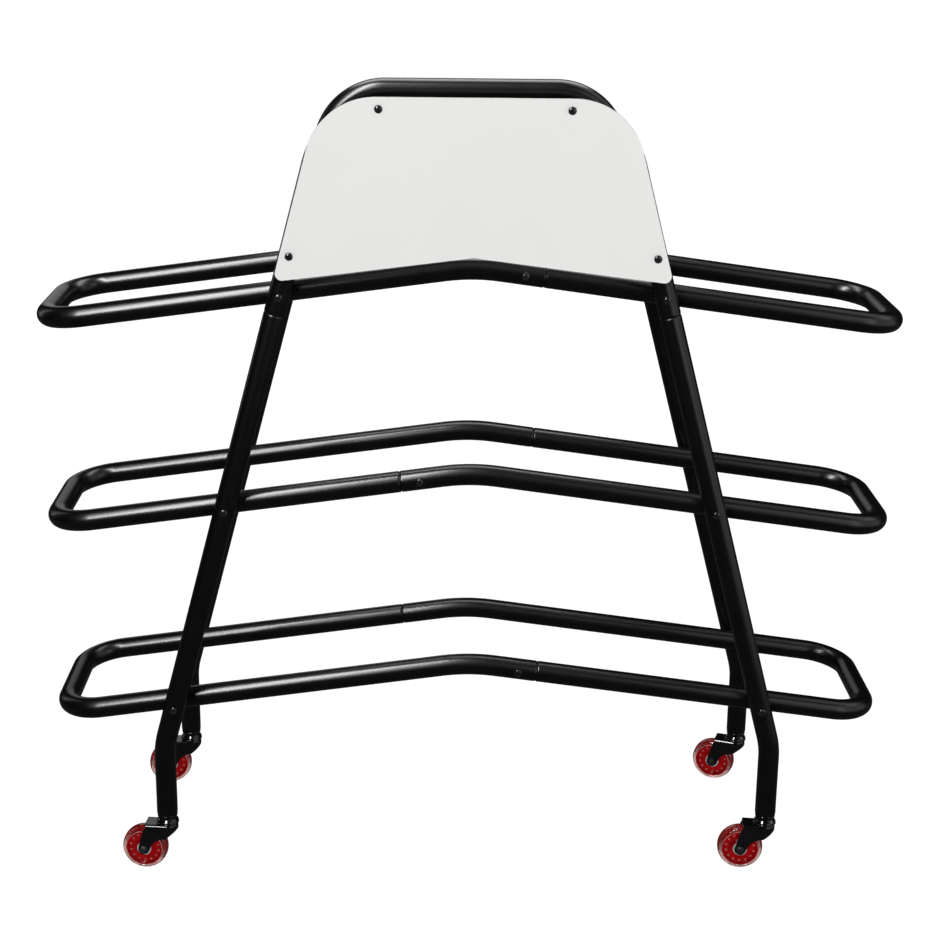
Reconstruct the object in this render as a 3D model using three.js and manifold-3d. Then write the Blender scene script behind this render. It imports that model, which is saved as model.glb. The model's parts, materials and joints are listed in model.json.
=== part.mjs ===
// A ball cart: three sloping tube tiers bolted between two pairs of leaning legs on swivel casters.
// Each pair of legs is joined over the top by a bent hoop, and the front hoop carries a flat panel.
// Units are millimetres. X runs along the cart, Y away from the panel, and Z up from the floor.
import * as THREE from 'three';
import { mergeVertices } from 'three/addons/utils/BufferGeometryUtils.js';
import Module from 'manifold-3d';

const wasm = await Module();
wasm.setup();

// Clearance between faces that touch, and how far a cutter runs past the face that it opens
const GAP = 0.3;
const OVERRUN = 1;
const MERGE_DISTANCE = 1e-4;

// Steel tube of the hoops, legs and tiers
const TUBE_DIAMETER = 31.75;
const TUBE_WALL = 1.5;
const RIM_ROUNDING = 1.4;
const RIM_LENGTH = 2;
const SWAGE_LENGTH = 46;
const SOCKET_SPARE = 4;

// Tiers: a long loop of tube, highest in the middle, so that it slopes down to both ends
const TIER_LENGTH = 1270;
const TIER_GAUGE = 236;
const TIER_SLOPE_DEG = 7.69;
const TOP_APEX = 940.2;
const MIDDLE_APEX = 632.2;
const BOTTOM_APEX = 329.9;
const APEX_BEND = 300;
const CORNER_BEND = 60;
const TIER_SEAM = 103.5;
const SEAM_TO_SCREW = 28.5;

// Hoops and legs
const HOOP_RISE = 222;
const HOOP_BEND = 96;
const LEG_LEAN_DEG = 15;
const TOP_CROSSING = 274.2;
const CROSSING_TO_SEAM = 27;
const KNEE_HEIGHT = 206;
const FOOT_BEND = 130;

// Button-head bolts and screws
const SHANK_RADIUS = 3;
const HEAD_RADIUS = 5.7;
const HEAD_HEIGHT = 3.2;
const HEAD_EDGE = 0.8;
const CROWN_RADIUS = 3.9;
const CROWN_DROP = 0.7;
const KEY_RADIUS = 2;
const KEY_DEPTH = 1.7;
const BOLT_BITE = 14;
const JOINT_SCREW_BITE = 9;
const PANEL_SCREW_BITE = 10;

// Front panel
const PANEL_THICKNESS = 3;
const PANEL_RISE = 5.6;
const PANEL_INSET = 2.1;
const PANEL_TOP_RADIUS = 100;
const PANEL_FOOT_RADIUS = 10;
const PANEL_LIFT = 24;
const PANEL_SLOPE_DEG = 7.25;
const PANEL_SCREW_INSET = 80.6;
const PANEL_SCREW_DROP = 16.5;
const PANEL_SCREW_LIFT = 59.5;

// Wheel: a clear tyre on a red core, which turns on two ball bearings
const TYRE_RADIUS = 35.7;
const TYRE_WIDTH = 24;
const TYRE_THICKNESS = 7.2;
const TREAD_WIDTH = 9;
const SHOULDER_WIDTH = 18;
const SHOULDER_DROP = 1.9;
const FLANK_DROP = 3.9;
const CORE_WIDTH = 21;
const CORE_RIM = 3;
const CORE_WEB = 15;
const CORE_BOSS = 3;
const BEARING_RADIUS = 11;
const BEARING_WIDTH = 7;
const BEARING_SPREAD = 24;
const SLEEVE_RADIUS = 6;
const AXLE_RADIUS = 4;
const AXLE_HEAD_RADIUS = 6.5;
const AXLE_HEAD_HEIGHT = 4;
const AXLE_CROWN_RADIUS = 4.6;
const AXLE_EDGE = 1.4;
const NUT_RADIUS = 6.6;
const NUT_HEIGHT = 5.5;
const AXLE_TAIL = 1.5;

// Fork: a pressed steel cover with a round nose, open at the back
const FORK_WIDTH = 32;
const FORK_WALL = 2.5;
const FORK_DECK = 3;
const FORK_BEVEL = 1.5;
const FORK_SKIRT = 8;
const FORK_REAR = 34;
const FORK_TIP_RADIUS = 8.5;
const FORK_CORNER = 2.5;
const NOTCH_RADIUS = 26;
const NOTCH_SETBACK = 1.5;
const NOTCH_DROP = 7;
const TRAIL = 36;
const TYRE_CLEARANCE = 2.5;

// Swivel stem: the riveted king pin, the ball race and the flanged plug in the leg
const KING_PIN_RADIUS = 4;
const RIVET_RADIUS = 6.5;
const RIVET_HEIGHT = 2.3;
const RACE_RADIUS = 17.2;
const RACE_FOOT_RADIUS = 16.4;
const RACE_EDGE = 2.6;
const RACE_NECK_RADIUS = 13.4;
const RACE_HEIGHT = 9.2;
const FLANGE_RADIUS = 15.3;
const FLANGE_SLOPE = 4;
const FLANGE_HEIGHT = 6.7;
const PLUG_LENGTH = 30;

// How far each caster is turned about its king pin, with the wheel trailing towards -X at zero
const CASTER_TURN_DEG = { front_left: -6, front_right: -6, rear_left: 8, rear_right: -20 };

// Facets
const TUBE_SIDES = 12;
const WHEEL_SIDES = 16;
const PIN_SIDES = 12;
const BEARING_SIDES = 8;
const BOLT_SIDES = 8;
const NUT_SIDES = 6;
const BEND_STEP_DEG = 23;
const ARC_STEP_DEG = 30;

// Sizes that follow from the ones above
const TUBE_RADIUS = TUBE_DIAMETER / 2;
const BORE_RADIUS = TUBE_RADIUS - TUBE_WALL;
const SWAGE_RADIUS = BORE_RADIUS - GAP;
const HOLE_RADIUS = SHANK_RADIUS + GAP;
const TIER_RISE = Math.tan(THREE.MathUtils.degToRad(TIER_SLOPE_DEG));
const LEAN = THREE.MathUtils.degToRad(LEG_LEAN_DEG);
const RAIL_Y = TIER_GAUGE / 2;
const LEG_Y = RAIL_Y + TUBE_DIAMETER + GAP;
const LEG_FACE = LEG_Y + TUBE_RADIUS;
const RAIL_FACE = RAIL_Y + TUBE_RADIUS;
const END_BAR = TIER_LENGTH / 2 - TUBE_RADIUS;
const TOP_CROSSING_HEIGHT = TOP_APEX - TOP_CROSSING * TIER_RISE;
const HOOP_HEIGHT = TOP_APEX + HOOP_RISE;
const FOOT_SPREAD = TOP_CROSSING + Math.tan(LEAN) * (TOP_CROSSING_HEIGHT - KNEE_HEIGHT);
const AXLE_HEIGHT = TYRE_RADIUS * Math.cos(Math.PI / WHEEL_SIDES);
const CORE_RADIUS = TYRE_RADIUS - TYRE_THICKNESS - GAP;
const DECK_UNDERSIDE = AXLE_HEIGHT + TYRE_RADIUS + TYRE_CLEARANCE;
const DECK_TOP = DECK_UNDERSIDE + FORK_DECK;
const RACE_BASE = DECK_TOP + GAP;
const LEG_BOTTOM = RACE_BASE + RACE_HEIGHT + FLANGE_HEIGHT + GAP;
const PANEL_TOP = HOOP_HEIGHT + TUBE_RADIUS + PANEL_RISE;
const FULL_TURN = 2 * Math.PI;
const UP = new THREE.Vector3(0, 0, 1);
const AWAY = new THREE.Vector3(0, 1, 0);

// Colours and finishes
const FINISHES = {
  powder: { color: 0x111214, roughness: 0.38, metalness: 0.3 },
  blackened: { color: 0x17181a, roughness: 0.32, metalness: 0.7 },
  panel: { color: 0xe5e5e3, roughness: 0.45, metalness: 0 },
  pressed: { color: 0x0e0f10, roughness: 0.3, metalness: 0.4 },
  steel: { color: 0xa4a7aa, roughness: 0.25, metalness: 1 },
  core: { color: 0xa50f12, roughness: 0.2, metalness: 0 },
  tyre: { color: 0xd9cfc4, roughness: 0.25, metalness: 0 },
};

// A tube's centreline: straight runs that would meet at the corners, joined by round bends
class BentLine {
  constructor(corners, bendRadii) {
    this.pieces = [];
    this.length = 0;
    let from = corners[0];
    bendRadii.forEach((radius, index) => {
      const [before, corner, after] = corners.slice(index, index + 3);
      const ahead = corner.clone().sub(before).normalize();
      const onward = after.clone().sub(corner).normalize();
      const turn = ahead.angleTo(onward);
      const setback = radius * Math.tan(turn / 2);
      this.addRun(from, corner.clone().addScaledVector(ahead, -setback));
      this.addBend(ahead, onward, radius, turn);
      from = corner.clone().addScaledVector(onward, setback);
    });
    this.addRun(from, corners.at(-1));
  }

  addRun(from, to) {
    const heading = to.clone().sub(from).normalize();
    const point = (s) => from.clone().addScaledVector(heading, s);
    this.add({ length: from.distanceTo(to), steps: 1, point, heading: () => heading.clone() });
    this.end = to;
  }

  addBend(ahead, onward, radius, turn) {
    const inward = onward.clone().addScaledVector(ahead, -Math.cos(turn)).normalize();
    const centre = this.end.clone().addScaledVector(inward, radius);
    const point = (s) => centre.clone()
      .addScaledVector(inward, -radius * Math.cos(s / radius))
      .addScaledVector(ahead, radius * Math.sin(s / radius));
    const heading = (s) => ahead.clone().multiplyScalar(Math.cos(s / radius))
      .addScaledVector(inward, Math.sin(s / radius));
    const steps = Math.ceil(THREE.MathUtils.radToDeg(turn) / BEND_STEP_DEG) + 1;
    this.add({ length: radius * turn, steps, point, heading });
  }

  add(piece) {
    this.pieces.push({ ...piece, start: this.length });
    this.length += piece.length;
  }

  // The point and heading at a distance along the line, which runs on straight past its ends
  locate(distance) {
    const piece = this.pieces.findLast(({ start }) => start <= distance) ?? this.pieces[0];
    const s = distance - piece.start;
    return { point: piece.point(s), heading: piece.heading(s) };
  }

  // Distances where a tube needs a ring of points: both ends of each bend, and steps within it
  stations() {
    const rings = this.pieces.flatMap(({ start, length, steps }) =>
      Array.from({ length: steps }, (_, step) => start + (length * step) / steps));
    return rings.slice(1);
  }
}

// A solid from a closed geometry, with its shared points merged and empty triangles left out
function solid(geometry) {
  const bare = geometry.clone();
  bare.deleteAttribute('normal');
  bare.deleteAttribute('uv');
  const merged = mergeVertices(bare, MERGE_DISTANCE);
  const corners = merged.index.array;
  const triangles = [];
  for (let i = 0; i < corners.length; i += 3) {
    const [a, b, c] = corners.slice(i, i + 3);
    if (a !== b && b !== c && c !== a) triangles.push(a, b, c);
  }
  const vertProperties = new Float32Array(merged.attributes.position.array);
  const triVerts = new Uint32Array(triangles);
  return new wasm.Manifold(new wasm.Mesh({ numProp: 3, vertProperties, triVerts }));
}

function geometryOf(body) {
  const mesh = body.getMesh();
  const geometry = new THREE.BufferGeometry();
  geometry.setAttribute('position', new THREE.BufferAttribute(mesh.vertProperties, 3));
  geometry.setIndex(new THREE.BufferAttribute(mesh.triVerts, 1));
  geometry.computeVertexNormals();
  return geometry;
}

function piece(name, body, finish) {
  const mesh = new THREE.Mesh(geometryOf(body), new THREE.MeshStandardMaterial(FINISHES[finish]));
  mesh.name = name;
  return mesh;
}

// A turned shape about the Y axis, from a profile of radius and height pairs
function turned(profile, sides, phase = 0) {
  const points = profile.map(([radius, height]) => new THREE.Vector2(radius, height));
  return new THREE.LatheGeometry(points, sides, phase);
}

function rodAlongY(radius, from, to, sides) {
  const rod = new THREE.CylinderGeometry(radius, radius, Math.abs(to - from), sides);
  return rod.translate(0, (from + to) / 2, 0);
}

function arcPoints(x, y, radius, from, to, stepDeg = ARC_STEP_DEG) {
  const steps = Math.ceil(THREE.MathUtils.radToDeg(Math.abs(to - from)) / stepDeg);
  return Array.from({ length: steps + 1 }, (_, step) => {
    const angle = from + ((to - from) * step) / steps;
    return new THREE.Vector2(x + radius * Math.cos(angle), y + radius * Math.sin(angle));
  });
}

// An outline through corners, each rounded to its own radius
function roundedOutline(corners) {
  return corners.flatMap(({ at, radius }, index) => {
    const before = corners.at(index - 1).at.clone().sub(at).normalize();
    const after = corners[(index + 1) % corners.length].at.clone().sub(at).normalize();
    const half = Math.acos(before.dot(after)) / 2;
    const inward = before.clone().add(after).normalize();
    const centre = at.clone().addScaledVector(inward, radius / Math.sin(half));
    const start = at.clone().addScaledVector(before, radius / Math.tan(half)).sub(centre);
    const end = at.clone().addScaledVector(after, radius / Math.tan(half)).sub(centre);
    const from = start.angle();
    const sweep = THREE.MathUtils.euclideanModulo(end.angle() - from + Math.PI, FULL_TURN);
    return arcPoints(centre.x, centre.y, radius, from, from + sweep - Math.PI);
  });
}

// Bends a straight turned shape, which lies along Y, onto a centreline
function bentOnto(geometry, line, side) {
  const { position } = geometry.attributes;
  for (let i = 0; i < position.count; i += 1) {
    const { point, heading } = line.locate(position.getY(i));
    const normal = side.clone().cross(heading).normalize();
    const binormal = heading.clone().cross(normal);
    point.addScaledVector(binormal, position.getX(i)).addScaledVector(normal, position.getZ(i));
    position.setXYZ(i, point.x, point.y, point.z);
  }
  return geometry;
}

// Tube ends as radius and inset pairs, from the axis outwards, with the inset from the end face
function rim() {
  return [[TUBE_RADIUS - RIM_ROUNDING, 0], [TUBE_RADIUS, RIM_LENGTH]];
}

function socketEnd(depth) {
  return [[0, depth], [BORE_RADIUS, depth], [BORE_RADIUS, 0], ...rim()];
}

function swagedEnd() {
  return [[0, -SWAGE_LENGTH], [SWAGE_RADIUS, -SWAGE_LENGTH], [SWAGE_RADIUS, 0], ...rim()];
}

function bentTube(line, start, finishEnd, side) {
  const body = line.stations().map((distance) => [TUBE_RADIUS, distance]);
  const finish = finishEnd.map(([radius, inset]) => [radius, line.length - inset]).reverse();
  return solid(bentOnto(turned([...start, ...body, ...finish], TUBE_SIDES), line, side));
}

// A hole along Y through the given place, from one depth to another
function drilled(body, x, z, from, to, radius = HOLE_RADIUS, sides = BOLT_SIDES) {
  return body.subtract(solid(rodAlongY(radius, from, to, sides).translate(x, 0, z)));
}

// A button-head screw along Y: its head rests on the plane through zero, and it points to +Y
function buttonScrew(length) {
  const top = -HEAD_HEIGHT;
  const profile = [
    [0, top + KEY_DEPTH], [KEY_RADIUS, top + KEY_DEPTH], [KEY_RADIUS, top],
    [CROWN_RADIUS, top + CROWN_DROP], [HEAD_RADIUS, -HEAD_EDGE], [HEAD_RADIUS, 0],
    [SHANK_RADIUS, 0], [SHANK_RADIUS, length], [0, length],
  ];
  return solid(turned(profile, BOLT_SIDES));
}

// Where a leg's centreline crosses the rail of the tier with the given apex height
function crossing(apex) {
  const run = TOP_CROSSING + Math.tan(LEAN) * (TOP_CROSSING_HEIGHT - apex);
  const x = run / (1 - Math.tan(LEAN) * TIER_RISE);
  return { x, z: apex - x * TIER_RISE };
}

// How far from the middle a leg's centreline is at a height
function legX(height) {
  return TOP_CROSSING + Math.tan(LEAN) * (TOP_CROSSING_HEIGHT - height);
}

// The seam between a hoop and a leg, a set way down the leg from the top crossing
function hoopSeam() {
  const x = TOP_CROSSING + CROSSING_TO_SEAM * Math.sin(LEAN);
  return { x, z: TOP_CROSSING_HEIGHT - CROSSING_TO_SEAM * Math.cos(LEAN) };
}

// One of a tier's two halves, with its apex at the origin. It starts at a socket just past the
// middle of one rail, runs over the apex and round one end, and stops at a swage on the far rail.
function tierHalf(apex, hand) {
  const far = -hand * END_BAR;
  const seamDrop = -TIER_SEAM * TIER_RISE;
  const endDrop = -END_BAR * TIER_RISE;
  const line = new BentLine([
    new THREE.Vector3(hand * (TIER_SEAM - GAP), -RAIL_Y, seamDrop),
    new THREE.Vector3(0, -RAIL_Y, 0),
    new THREE.Vector3(far, -RAIL_Y, endDrop),
    new THREE.Vector3(far, RAIL_Y, endDrop),
    new THREE.Vector3(-hand * TIER_SEAM, RAIL_Y, seamDrop),
  ], [APEX_BEND, CORNER_BEND, CORNER_BEND]);
  const socket = socketEnd(SWAGE_LENGTH + SOCKET_SPARE);
  return tierHoles(bentTube(line, socket, swagedEnd(), UP), apex, hand);
}

function tierHoles(tube, apex, hand) {
  const { x: legAt } = crossing(apex);
  const screwAt = TIER_SEAM - SEAM_TO_SCREW;
  const outside = RAIL_FACE + OVERRUN;
  const boltFloor = RAIL_FACE - BOLT_BITE - GAP;
  const drop = (x) => -x * TIER_RISE;
  const front = drilled(tube, -hand * legAt, drop(legAt), -outside, -boltFloor);
  const both = drilled(front, -hand * legAt, drop(legAt), outside, boltFloor);
  const wall = RAIL_Y + BORE_RADIUS - OVERRUN;
  const socketed = drilled(both, hand * screwAt, drop(screwAt), -outside, -wall);
  const swageFloor = RAIL_FACE - TUBE_WALL - JOINT_SCREW_BITE - GAP;
  return drilled(socketed, -hand * screwAt, drop(screwAt), outside, swageFloor);
}

function tier(name, apex, hand) {
  const group = new THREE.Group();
  group.position.z = apex;
  const body = tierHalf(apex, hand);
  const [near, far] = hand > 0 ? ['left', 'right'] : ['right', 'left'];
  const first = piece(`tier_${name}_${near}_tube`, body, 'powder');
  const second = piece(`tier_${name}_${far}_tube`, body, 'powder');
  second.rotation.z = Math.PI;
  group.add(first, second, ...jointScrews(name, hand));
  return group;
}

function jointScrews(name, hand) {
  const x = TIER_SEAM - SEAM_TO_SCREW;
  const body = buttonScrew(TUBE_WALL + JOINT_SCREW_BITE);
  return [['front', -1], ['rear', 1]].map(([end, side]) => {
    const screw = piece(`tier_${name}_joint_screw_${end}`, body, 'blackened');
    screw.position.set(-side * hand * x, side * (RAIL_FACE + GAP), -x * TIER_RISE);
    screw.rotation.z = side > 0 ? Math.PI : 0;
    return screw;
  });
}

// A hoop in the plane Y = 0: a level bar with a bent leaning side at each end
function hoopBody() {
  const seam = hoopSeam();
  const shoulder = legX(HOOP_HEIGHT);
  const foot = seam.z + GAP;
  const line = new BentLine([
    new THREE.Vector3(-legX(foot), 0, foot),
    new THREE.Vector3(-shoulder, 0, HOOP_HEIGHT),
    new THREE.Vector3(shoulder, 0, HOOP_HEIGHT),
    new THREE.Vector3(legX(foot), 0, foot),
  ], [HOOP_BEND, HOOP_BEND]);
  const socket = socketEnd(SWAGE_LENGTH + SOCKET_SPARE);
  const tube = bentTube(line, socket, socket, AWAY);
  const through = TUBE_RADIUS + OVERRUN;
  const left = drilled(tube, -TOP_CROSSING, TOP_CROSSING_HEIGHT, -through, through);
  return drilled(left, TOP_CROSSING, TOP_CROSSING_HEIGHT, -through, through);
}

function hoops() {
  const plain = hoopBody();
  const screwFloor = -TUBE_RADIUS + PANEL_SCREW_BITE + GAP;
  const front = panelScrewPlaces().reduce((body, { x, z }) =>
    drilled(body, x, z, -TUBE_RADIUS - OVERRUN, screwFloor), plain);
  const frontHoop = piece('hoop_front', front, 'powder');
  const rearHoop = piece('hoop_rear', plain, 'powder');
  frontHoop.position.y = -LEG_Y;
  rearHoop.position.y = LEG_Y;
  return [frontHoop, rearHoop];
}

// A right-hand leg in the plane Y = 0, from its swage in the hoop to the caster's plug
function legBody() {
  const seam = hoopSeam();
  const line = new BentLine([
    new THREE.Vector3(seam.x, 0, seam.z),
    new THREE.Vector3(FOOT_SPREAD, 0, KNEE_HEIGHT),
    new THREE.Vector3(FOOT_SPREAD, 0, LEG_BOTTOM),
  ], [FOOT_BEND]);
  const tube = bentTube(line, swagedEnd(), socketEnd(PLUG_LENGTH + SOCKET_SPARE), AWAY);
  const through = TUBE_RADIUS + OVERRUN;
  const places = [TOP_APEX, MIDDLE_APEX, BOTTOM_APEX].map(crossing);
  return places.reduce((body, { x, z }) => drilled(body, x, z, -through, through), tube);
}

function leg(name, body, side, end) {
  const tube = piece(`leg_${name}`, body, 'powder');
  tube.position.y = end * LEG_Y;
  tube.rotation.z = side > 0 ? 0 : Math.PI;
  return tube;
}

// Bolts that pass through a leg into the rail behind it, three on each leg
function crossingBolts(name, side, end) {
  const body = buttonScrew(TUBE_DIAMETER + 2 * GAP + BOLT_BITE);
  const apexes = { top: TOP_APEX, middle: MIDDLE_APEX, bottom: BOTTOM_APEX };
  return Object.entries(apexes).map(([level, apex]) => {
    const { x, z } = crossing(apex);
    const bolt = piece(`bolt_${level}_${name}`, body, 'blackened');
    bolt.position.set(side * x, end * (LEG_FACE + GAP), z);
    bolt.rotation.z = end > 0 ? Math.PI : 0;
    return bolt;
  });
}

// How far from the middle the panel's side is at a height
function panelSide(height) {
  return legX(height) + (TUBE_RADIUS - PANEL_INSET) / Math.cos(LEAN);
}

function panelScrewPlaces() {
  const upper = PANEL_TOP - PANEL_SCREW_DROP;
  const lower = TOP_CROSSING_HEIGHT + PANEL_SCREW_LIFT;
  const places = [
    { label: 'top', x: panelSide(PANEL_TOP) - PANEL_SCREW_INSET, z: upper },
    { label: 'bottom', x: legX(lower), z: lower },
  ];
  return places.flatMap(({ label, x, z }) => [
    { name: `panel_screw_${label}_left`, x: -x, z }, { name: `panel_screw_${label}_right`, x, z },
  ]);
}

// The panel's outline: a level top, sides parallel to the legs and a foot raised in the middle
function panelOutline() {
  const middle = TOP_APEX + PANEL_LIFT;
  const slope = Math.tan(THREE.MathUtils.degToRad(PANEL_SLOPE_DEG));
  const footX = panelSide(middle) / (1 - Math.tan(LEAN) * slope);
  const footZ = middle - footX * slope;
  const right = [
    { at: new THREE.Vector2(footX, footZ), radius: PANEL_FOOT_RADIUS },
    { at: new THREE.Vector2(panelSide(PANEL_TOP), PANEL_TOP), radius: PANEL_TOP_RADIUS },
  ];
  const left = right.map(({ at, radius }) => ({ at: new THREE.Vector2(-at.x, at.y), radius }));
  return [new THREE.Vector2(0, middle), ...roundedOutline([...right, ...left.reverse()])];
}

function panel() {
  const shape = new THREE.Shape(panelOutline());
  shape.holes = panelScrewPlaces().map(({ x, z }) =>
    new THREE.Path(arcPoints(x, z, HOLE_RADIUS, 0, FULL_TURN, 360 / BOLT_SIDES).slice(1)));
  const slab = new THREE.ExtrudeGeometry(shape, { depth: PANEL_THICKNESS, bevelEnabled: false });
  const sheet = piece('front_panel', solid(slab.rotateX(Math.PI / 2)), 'panel');
  sheet.position.y = -LEG_FACE - GAP;
  return sheet;
}

function panelScrews() {
  const body = buttonScrew(PANEL_THICKNESS + GAP + PANEL_SCREW_BITE);
  return panelScrewPlaces().map(({ name, x, z }) => {
    const screw = piece(name, body, 'blackened');
    screw.position.set(x, -LEG_FACE - PANEL_THICKNESS - 2 * GAP, z);
    return screw;
  });
}

// Wheel pieces are turned about Y, with a flat of the tread at the bottom
function wheelShape(halfProfile) {
  const mirrored = halfProfile.map(([radius, offset]) => [radius, -offset]).reverse();
  const profile = [...mirrored, ...halfProfile];
  return solid(turned([...profile, profile[0]], WHEEL_SIDES, Math.PI / WHEEL_SIDES));
}

function tyreBody() {
  const inner = TYRE_RADIUS - TYRE_THICKNESS;
  return wheelShape([
    [TYRE_RADIUS, TREAD_WIDTH / 2], [TYRE_RADIUS - SHOULDER_DROP, SHOULDER_WIDTH / 2],
    [TYRE_RADIUS - FLANK_DROP, TYRE_WIDTH / 2], [inner, TYRE_WIDTH / 2],
  ]);
}

function coreBody() {
  const bore = BEARING_RADIUS + GAP;
  return wheelShape([
    [CORE_RADIUS, CORE_WIDTH / 2], [CORE_RADIUS - CORE_RIM, CORE_WIDTH / 2],
    [CORE_RADIUS - CORE_RIM, CORE_WEB / 2], [bore + CORE_BOSS, CORE_WEB / 2],
    [bore + CORE_BOSS, BEARING_SPREAD / 2], [bore, BEARING_SPREAD / 2],
  ]);
}

// Two bearings with the sleeve that sets them apart and spaces them from the fork
function bearingBody() {
  const bore = AXLE_RADIUS + GAP;
  const outer = BEARING_SPREAD / 2;
  const sleeve = FORK_WIDTH / 2 - FORK_WALL - GAP;
  const half = [
    [SLEEVE_RADIUS, outer - BEARING_WIDTH], [BEARING_RADIUS, outer - BEARING_WIDTH],
    [BEARING_RADIUS, outer], [SLEEVE_RADIUS, outer], [SLEEVE_RADIUS, sleeve], [bore, sleeve],
  ];
  const mirrored = half.map(([radius, offset]) => [radius, -offset]).reverse();
  return solid(turned([...mirrored, ...half, mirrored[0]], BEARING_SIDES));
}

// The axle bolt: a domed head on one side of the fork and a locknut on the other
function axleBody() {
  const seat = FORK_WIDTH / 2 + GAP;
  const top = seat + AXLE_HEAD_HEIGHT;
  const tail = seat + NUT_HEIGHT + AXLE_TAIL;
  const bolt = turned([
    [0, -top], [AXLE_CROWN_RADIUS, -top], [AXLE_HEAD_RADIUS, -seat - AXLE_EDGE],
    [AXLE_HEAD_RADIUS, -seat], [AXLE_RADIUS, -seat], [AXLE_RADIUS, tail], [0, tail],
  ], BEARING_SIDES);
  return solid(bolt).add(solid(rodAlongY(NUT_RADIUS, seat, seat + NUT_HEIGHT, NUT_SIDES)));
}

// Plan of the fork: a round nose on the swivel axis, with straight sides running back
function forkPlan(halfWidth, rear) {
  const nose = arcPoints(0, 0, halfWidth, -Math.PI / 2, Math.PI / 2);
  const back = [new THREE.Vector2(-rear, halfWidth), new THREE.Vector2(-rear, -halfWidth)];
  return new THREE.Shape([...nose, ...back]);
}

// Side view of the fork: from the skirt of its nose along a round notch down to the tip round
// the axle. A line joins the notch to the tip and touches both, and another runs up to the deck.
function forkSide() {
  const nose = FORK_WIDTH / 2 + OVERRUN;
  const above = DECK_TOP + OVERRUN;
  const axle = new THREE.Vector2(-TRAIL, AXLE_HEIGHT);
  const notch = new THREE.Vector2(-NOTCH_SETBACK, AXLE_HEIGHT - NOTCH_DROP);
  const across = notch.clone().sub(axle);
  const between = Math.acos((FORK_TIP_RADIUS + NOTCH_RADIUS) / across.length());
  const rear = new THREE.Vector2(-FORK_REAR, above).sub(axle);
  const behind = rear.angle() + Math.acos(FORK_TIP_RADIUS / rear.length()) - FULL_TURN;
  const ahead = Math.atan2(across.y, across.x) - between;
  return new THREE.Shape([
    new THREE.Vector2(nose, above), new THREE.Vector2(nose, DECK_TOP - FORK_SKIRT),
    ...arcPoints(notch.x, notch.y, NOTCH_RADIUS, Math.PI / 2, ahead + Math.PI),
    ...arcPoints(axle.x, axle.y, FORK_TIP_RADIUS, ahead, behind),
    new THREE.Vector2(-FORK_REAR, above),
  ]);
}

function forkBody() {
  const rear = TRAIL + FORK_TIP_RADIUS + OVERRUN;
  const low = AXLE_HEIGHT - FORK_TIP_RADIUS - OVERRUN;
  const outer = new THREE.ExtrudeGeometry(forkPlan(FORK_WIDTH / 2, rear), {
    depth: DECK_TOP - low - 2 * FORK_BEVEL, bevelEnabled: true, bevelSegments: 1,
    bevelThickness: FORK_BEVEL, bevelSize: FORK_BEVEL, bevelOffset: -FORK_BEVEL,
  }).translate(0, 0, low + FORK_BEVEL);
  const hollow = new THREE.ExtrudeGeometry(forkPlan(FORK_WIDTH / 2 - FORK_WALL, rear + OVERRUN), {
    depth: DECK_UNDERSIDE - low + OVERRUN, bevelEnabled: false,
  }).translate(0, 0, low - OVERRUN);
  const across = FORK_WIDTH / 2 + OVERRUN;
  const side = new THREE.ExtrudeGeometry(forkSide(), { depth: 2 * across, bevelEnabled: false })
    .rotateX(Math.PI / 2).translate(0, across, 0);
  const pressed = solid(outer).intersect(solid(side)).subtract(solid(hollow));
  return forkHoles(pressed.subtract(deckCorner(1)).subtract(deckCorner(-1)));
}

// A wedge that trims a back corner of the fork's deck
function deckCorner(side) {
  const edge = side * (FORK_WIDTH / 2 + OVERRUN);
  const back = -FORK_REAR - OVERRUN;
  const wedge = new THREE.Shape([
    new THREE.Vector2(back, edge), new THREE.Vector2(back + FORK_CORNER, edge),
    new THREE.Vector2(back, edge - side * FORK_CORNER),
  ]);
  const depth = FORK_DECK + FORK_BEVEL;
  return solid(new THREE.ExtrudeGeometry(wedge, { depth: depth + OVERRUN, bevelEnabled: false })
    .translate(0, 0, DECK_TOP - depth));
}

function forkHoles(body) {
  const across = FORK_WIDTH / 2 + OVERRUN;
  const radius = AXLE_RADIUS + GAP;
  const axled = drilled(body, -TRAIL, AXLE_HEIGHT, -across, across, radius, BEARING_SIDES);
  const pin = rodAlongY(KING_PIN_RADIUS + GAP, -FORK_DECK, FORK_DECK, PIN_SIDES);
  return axled.subtract(solid(pin.rotateX(Math.PI / 2).translate(0, 0, DECK_TOP)));
}

// The swivel stem, turned about Z: rivet head, king pin, ball race, and the plug with its flange
function stemBody() {
  const rivetTop = DECK_UNDERSIDE - GAP;
  const neck = RACE_BASE + RACE_HEIGHT;
  const flangeTop = neck + FLANGE_HEIGHT;
  const stem = turned([
    [0, rivetTop - RIVET_HEIGHT], [RIVET_RADIUS, rivetTop - RIVET_HEIGHT], [RIVET_RADIUS, rivetTop],
    [KING_PIN_RADIUS, rivetTop], [KING_PIN_RADIUS, RACE_BASE], [RACE_FOOT_RADIUS, RACE_BASE],
    [RACE_RADIUS, RACE_BASE + RACE_EDGE], [RACE_NECK_RADIUS, neck],
    [FLANGE_RADIUS, neck + FLANGE_SLOPE], [FLANGE_RADIUS, flangeTop], [SWAGE_RADIUS, flangeTop],
    [SWAGE_RADIUS, flangeTop + PLUG_LENGTH], [0, flangeTop + PLUG_LENGTH],
  ], PIN_SIDES);
  return solid(stem.rotateX(Math.PI / 2));
}

const CASTER_BODIES = {
  fork: [forkBody(), 'pressed'],
  axle: [axleBody(), 'blackened'],
  wheel_core: [coreBody(), 'core'],
  wheel_tyre: [tyreBody(), 'tyre'],
  wheel_bearings: [bearingBody(), 'steel'],
};
const STEM_BODY = stemBody();

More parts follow.
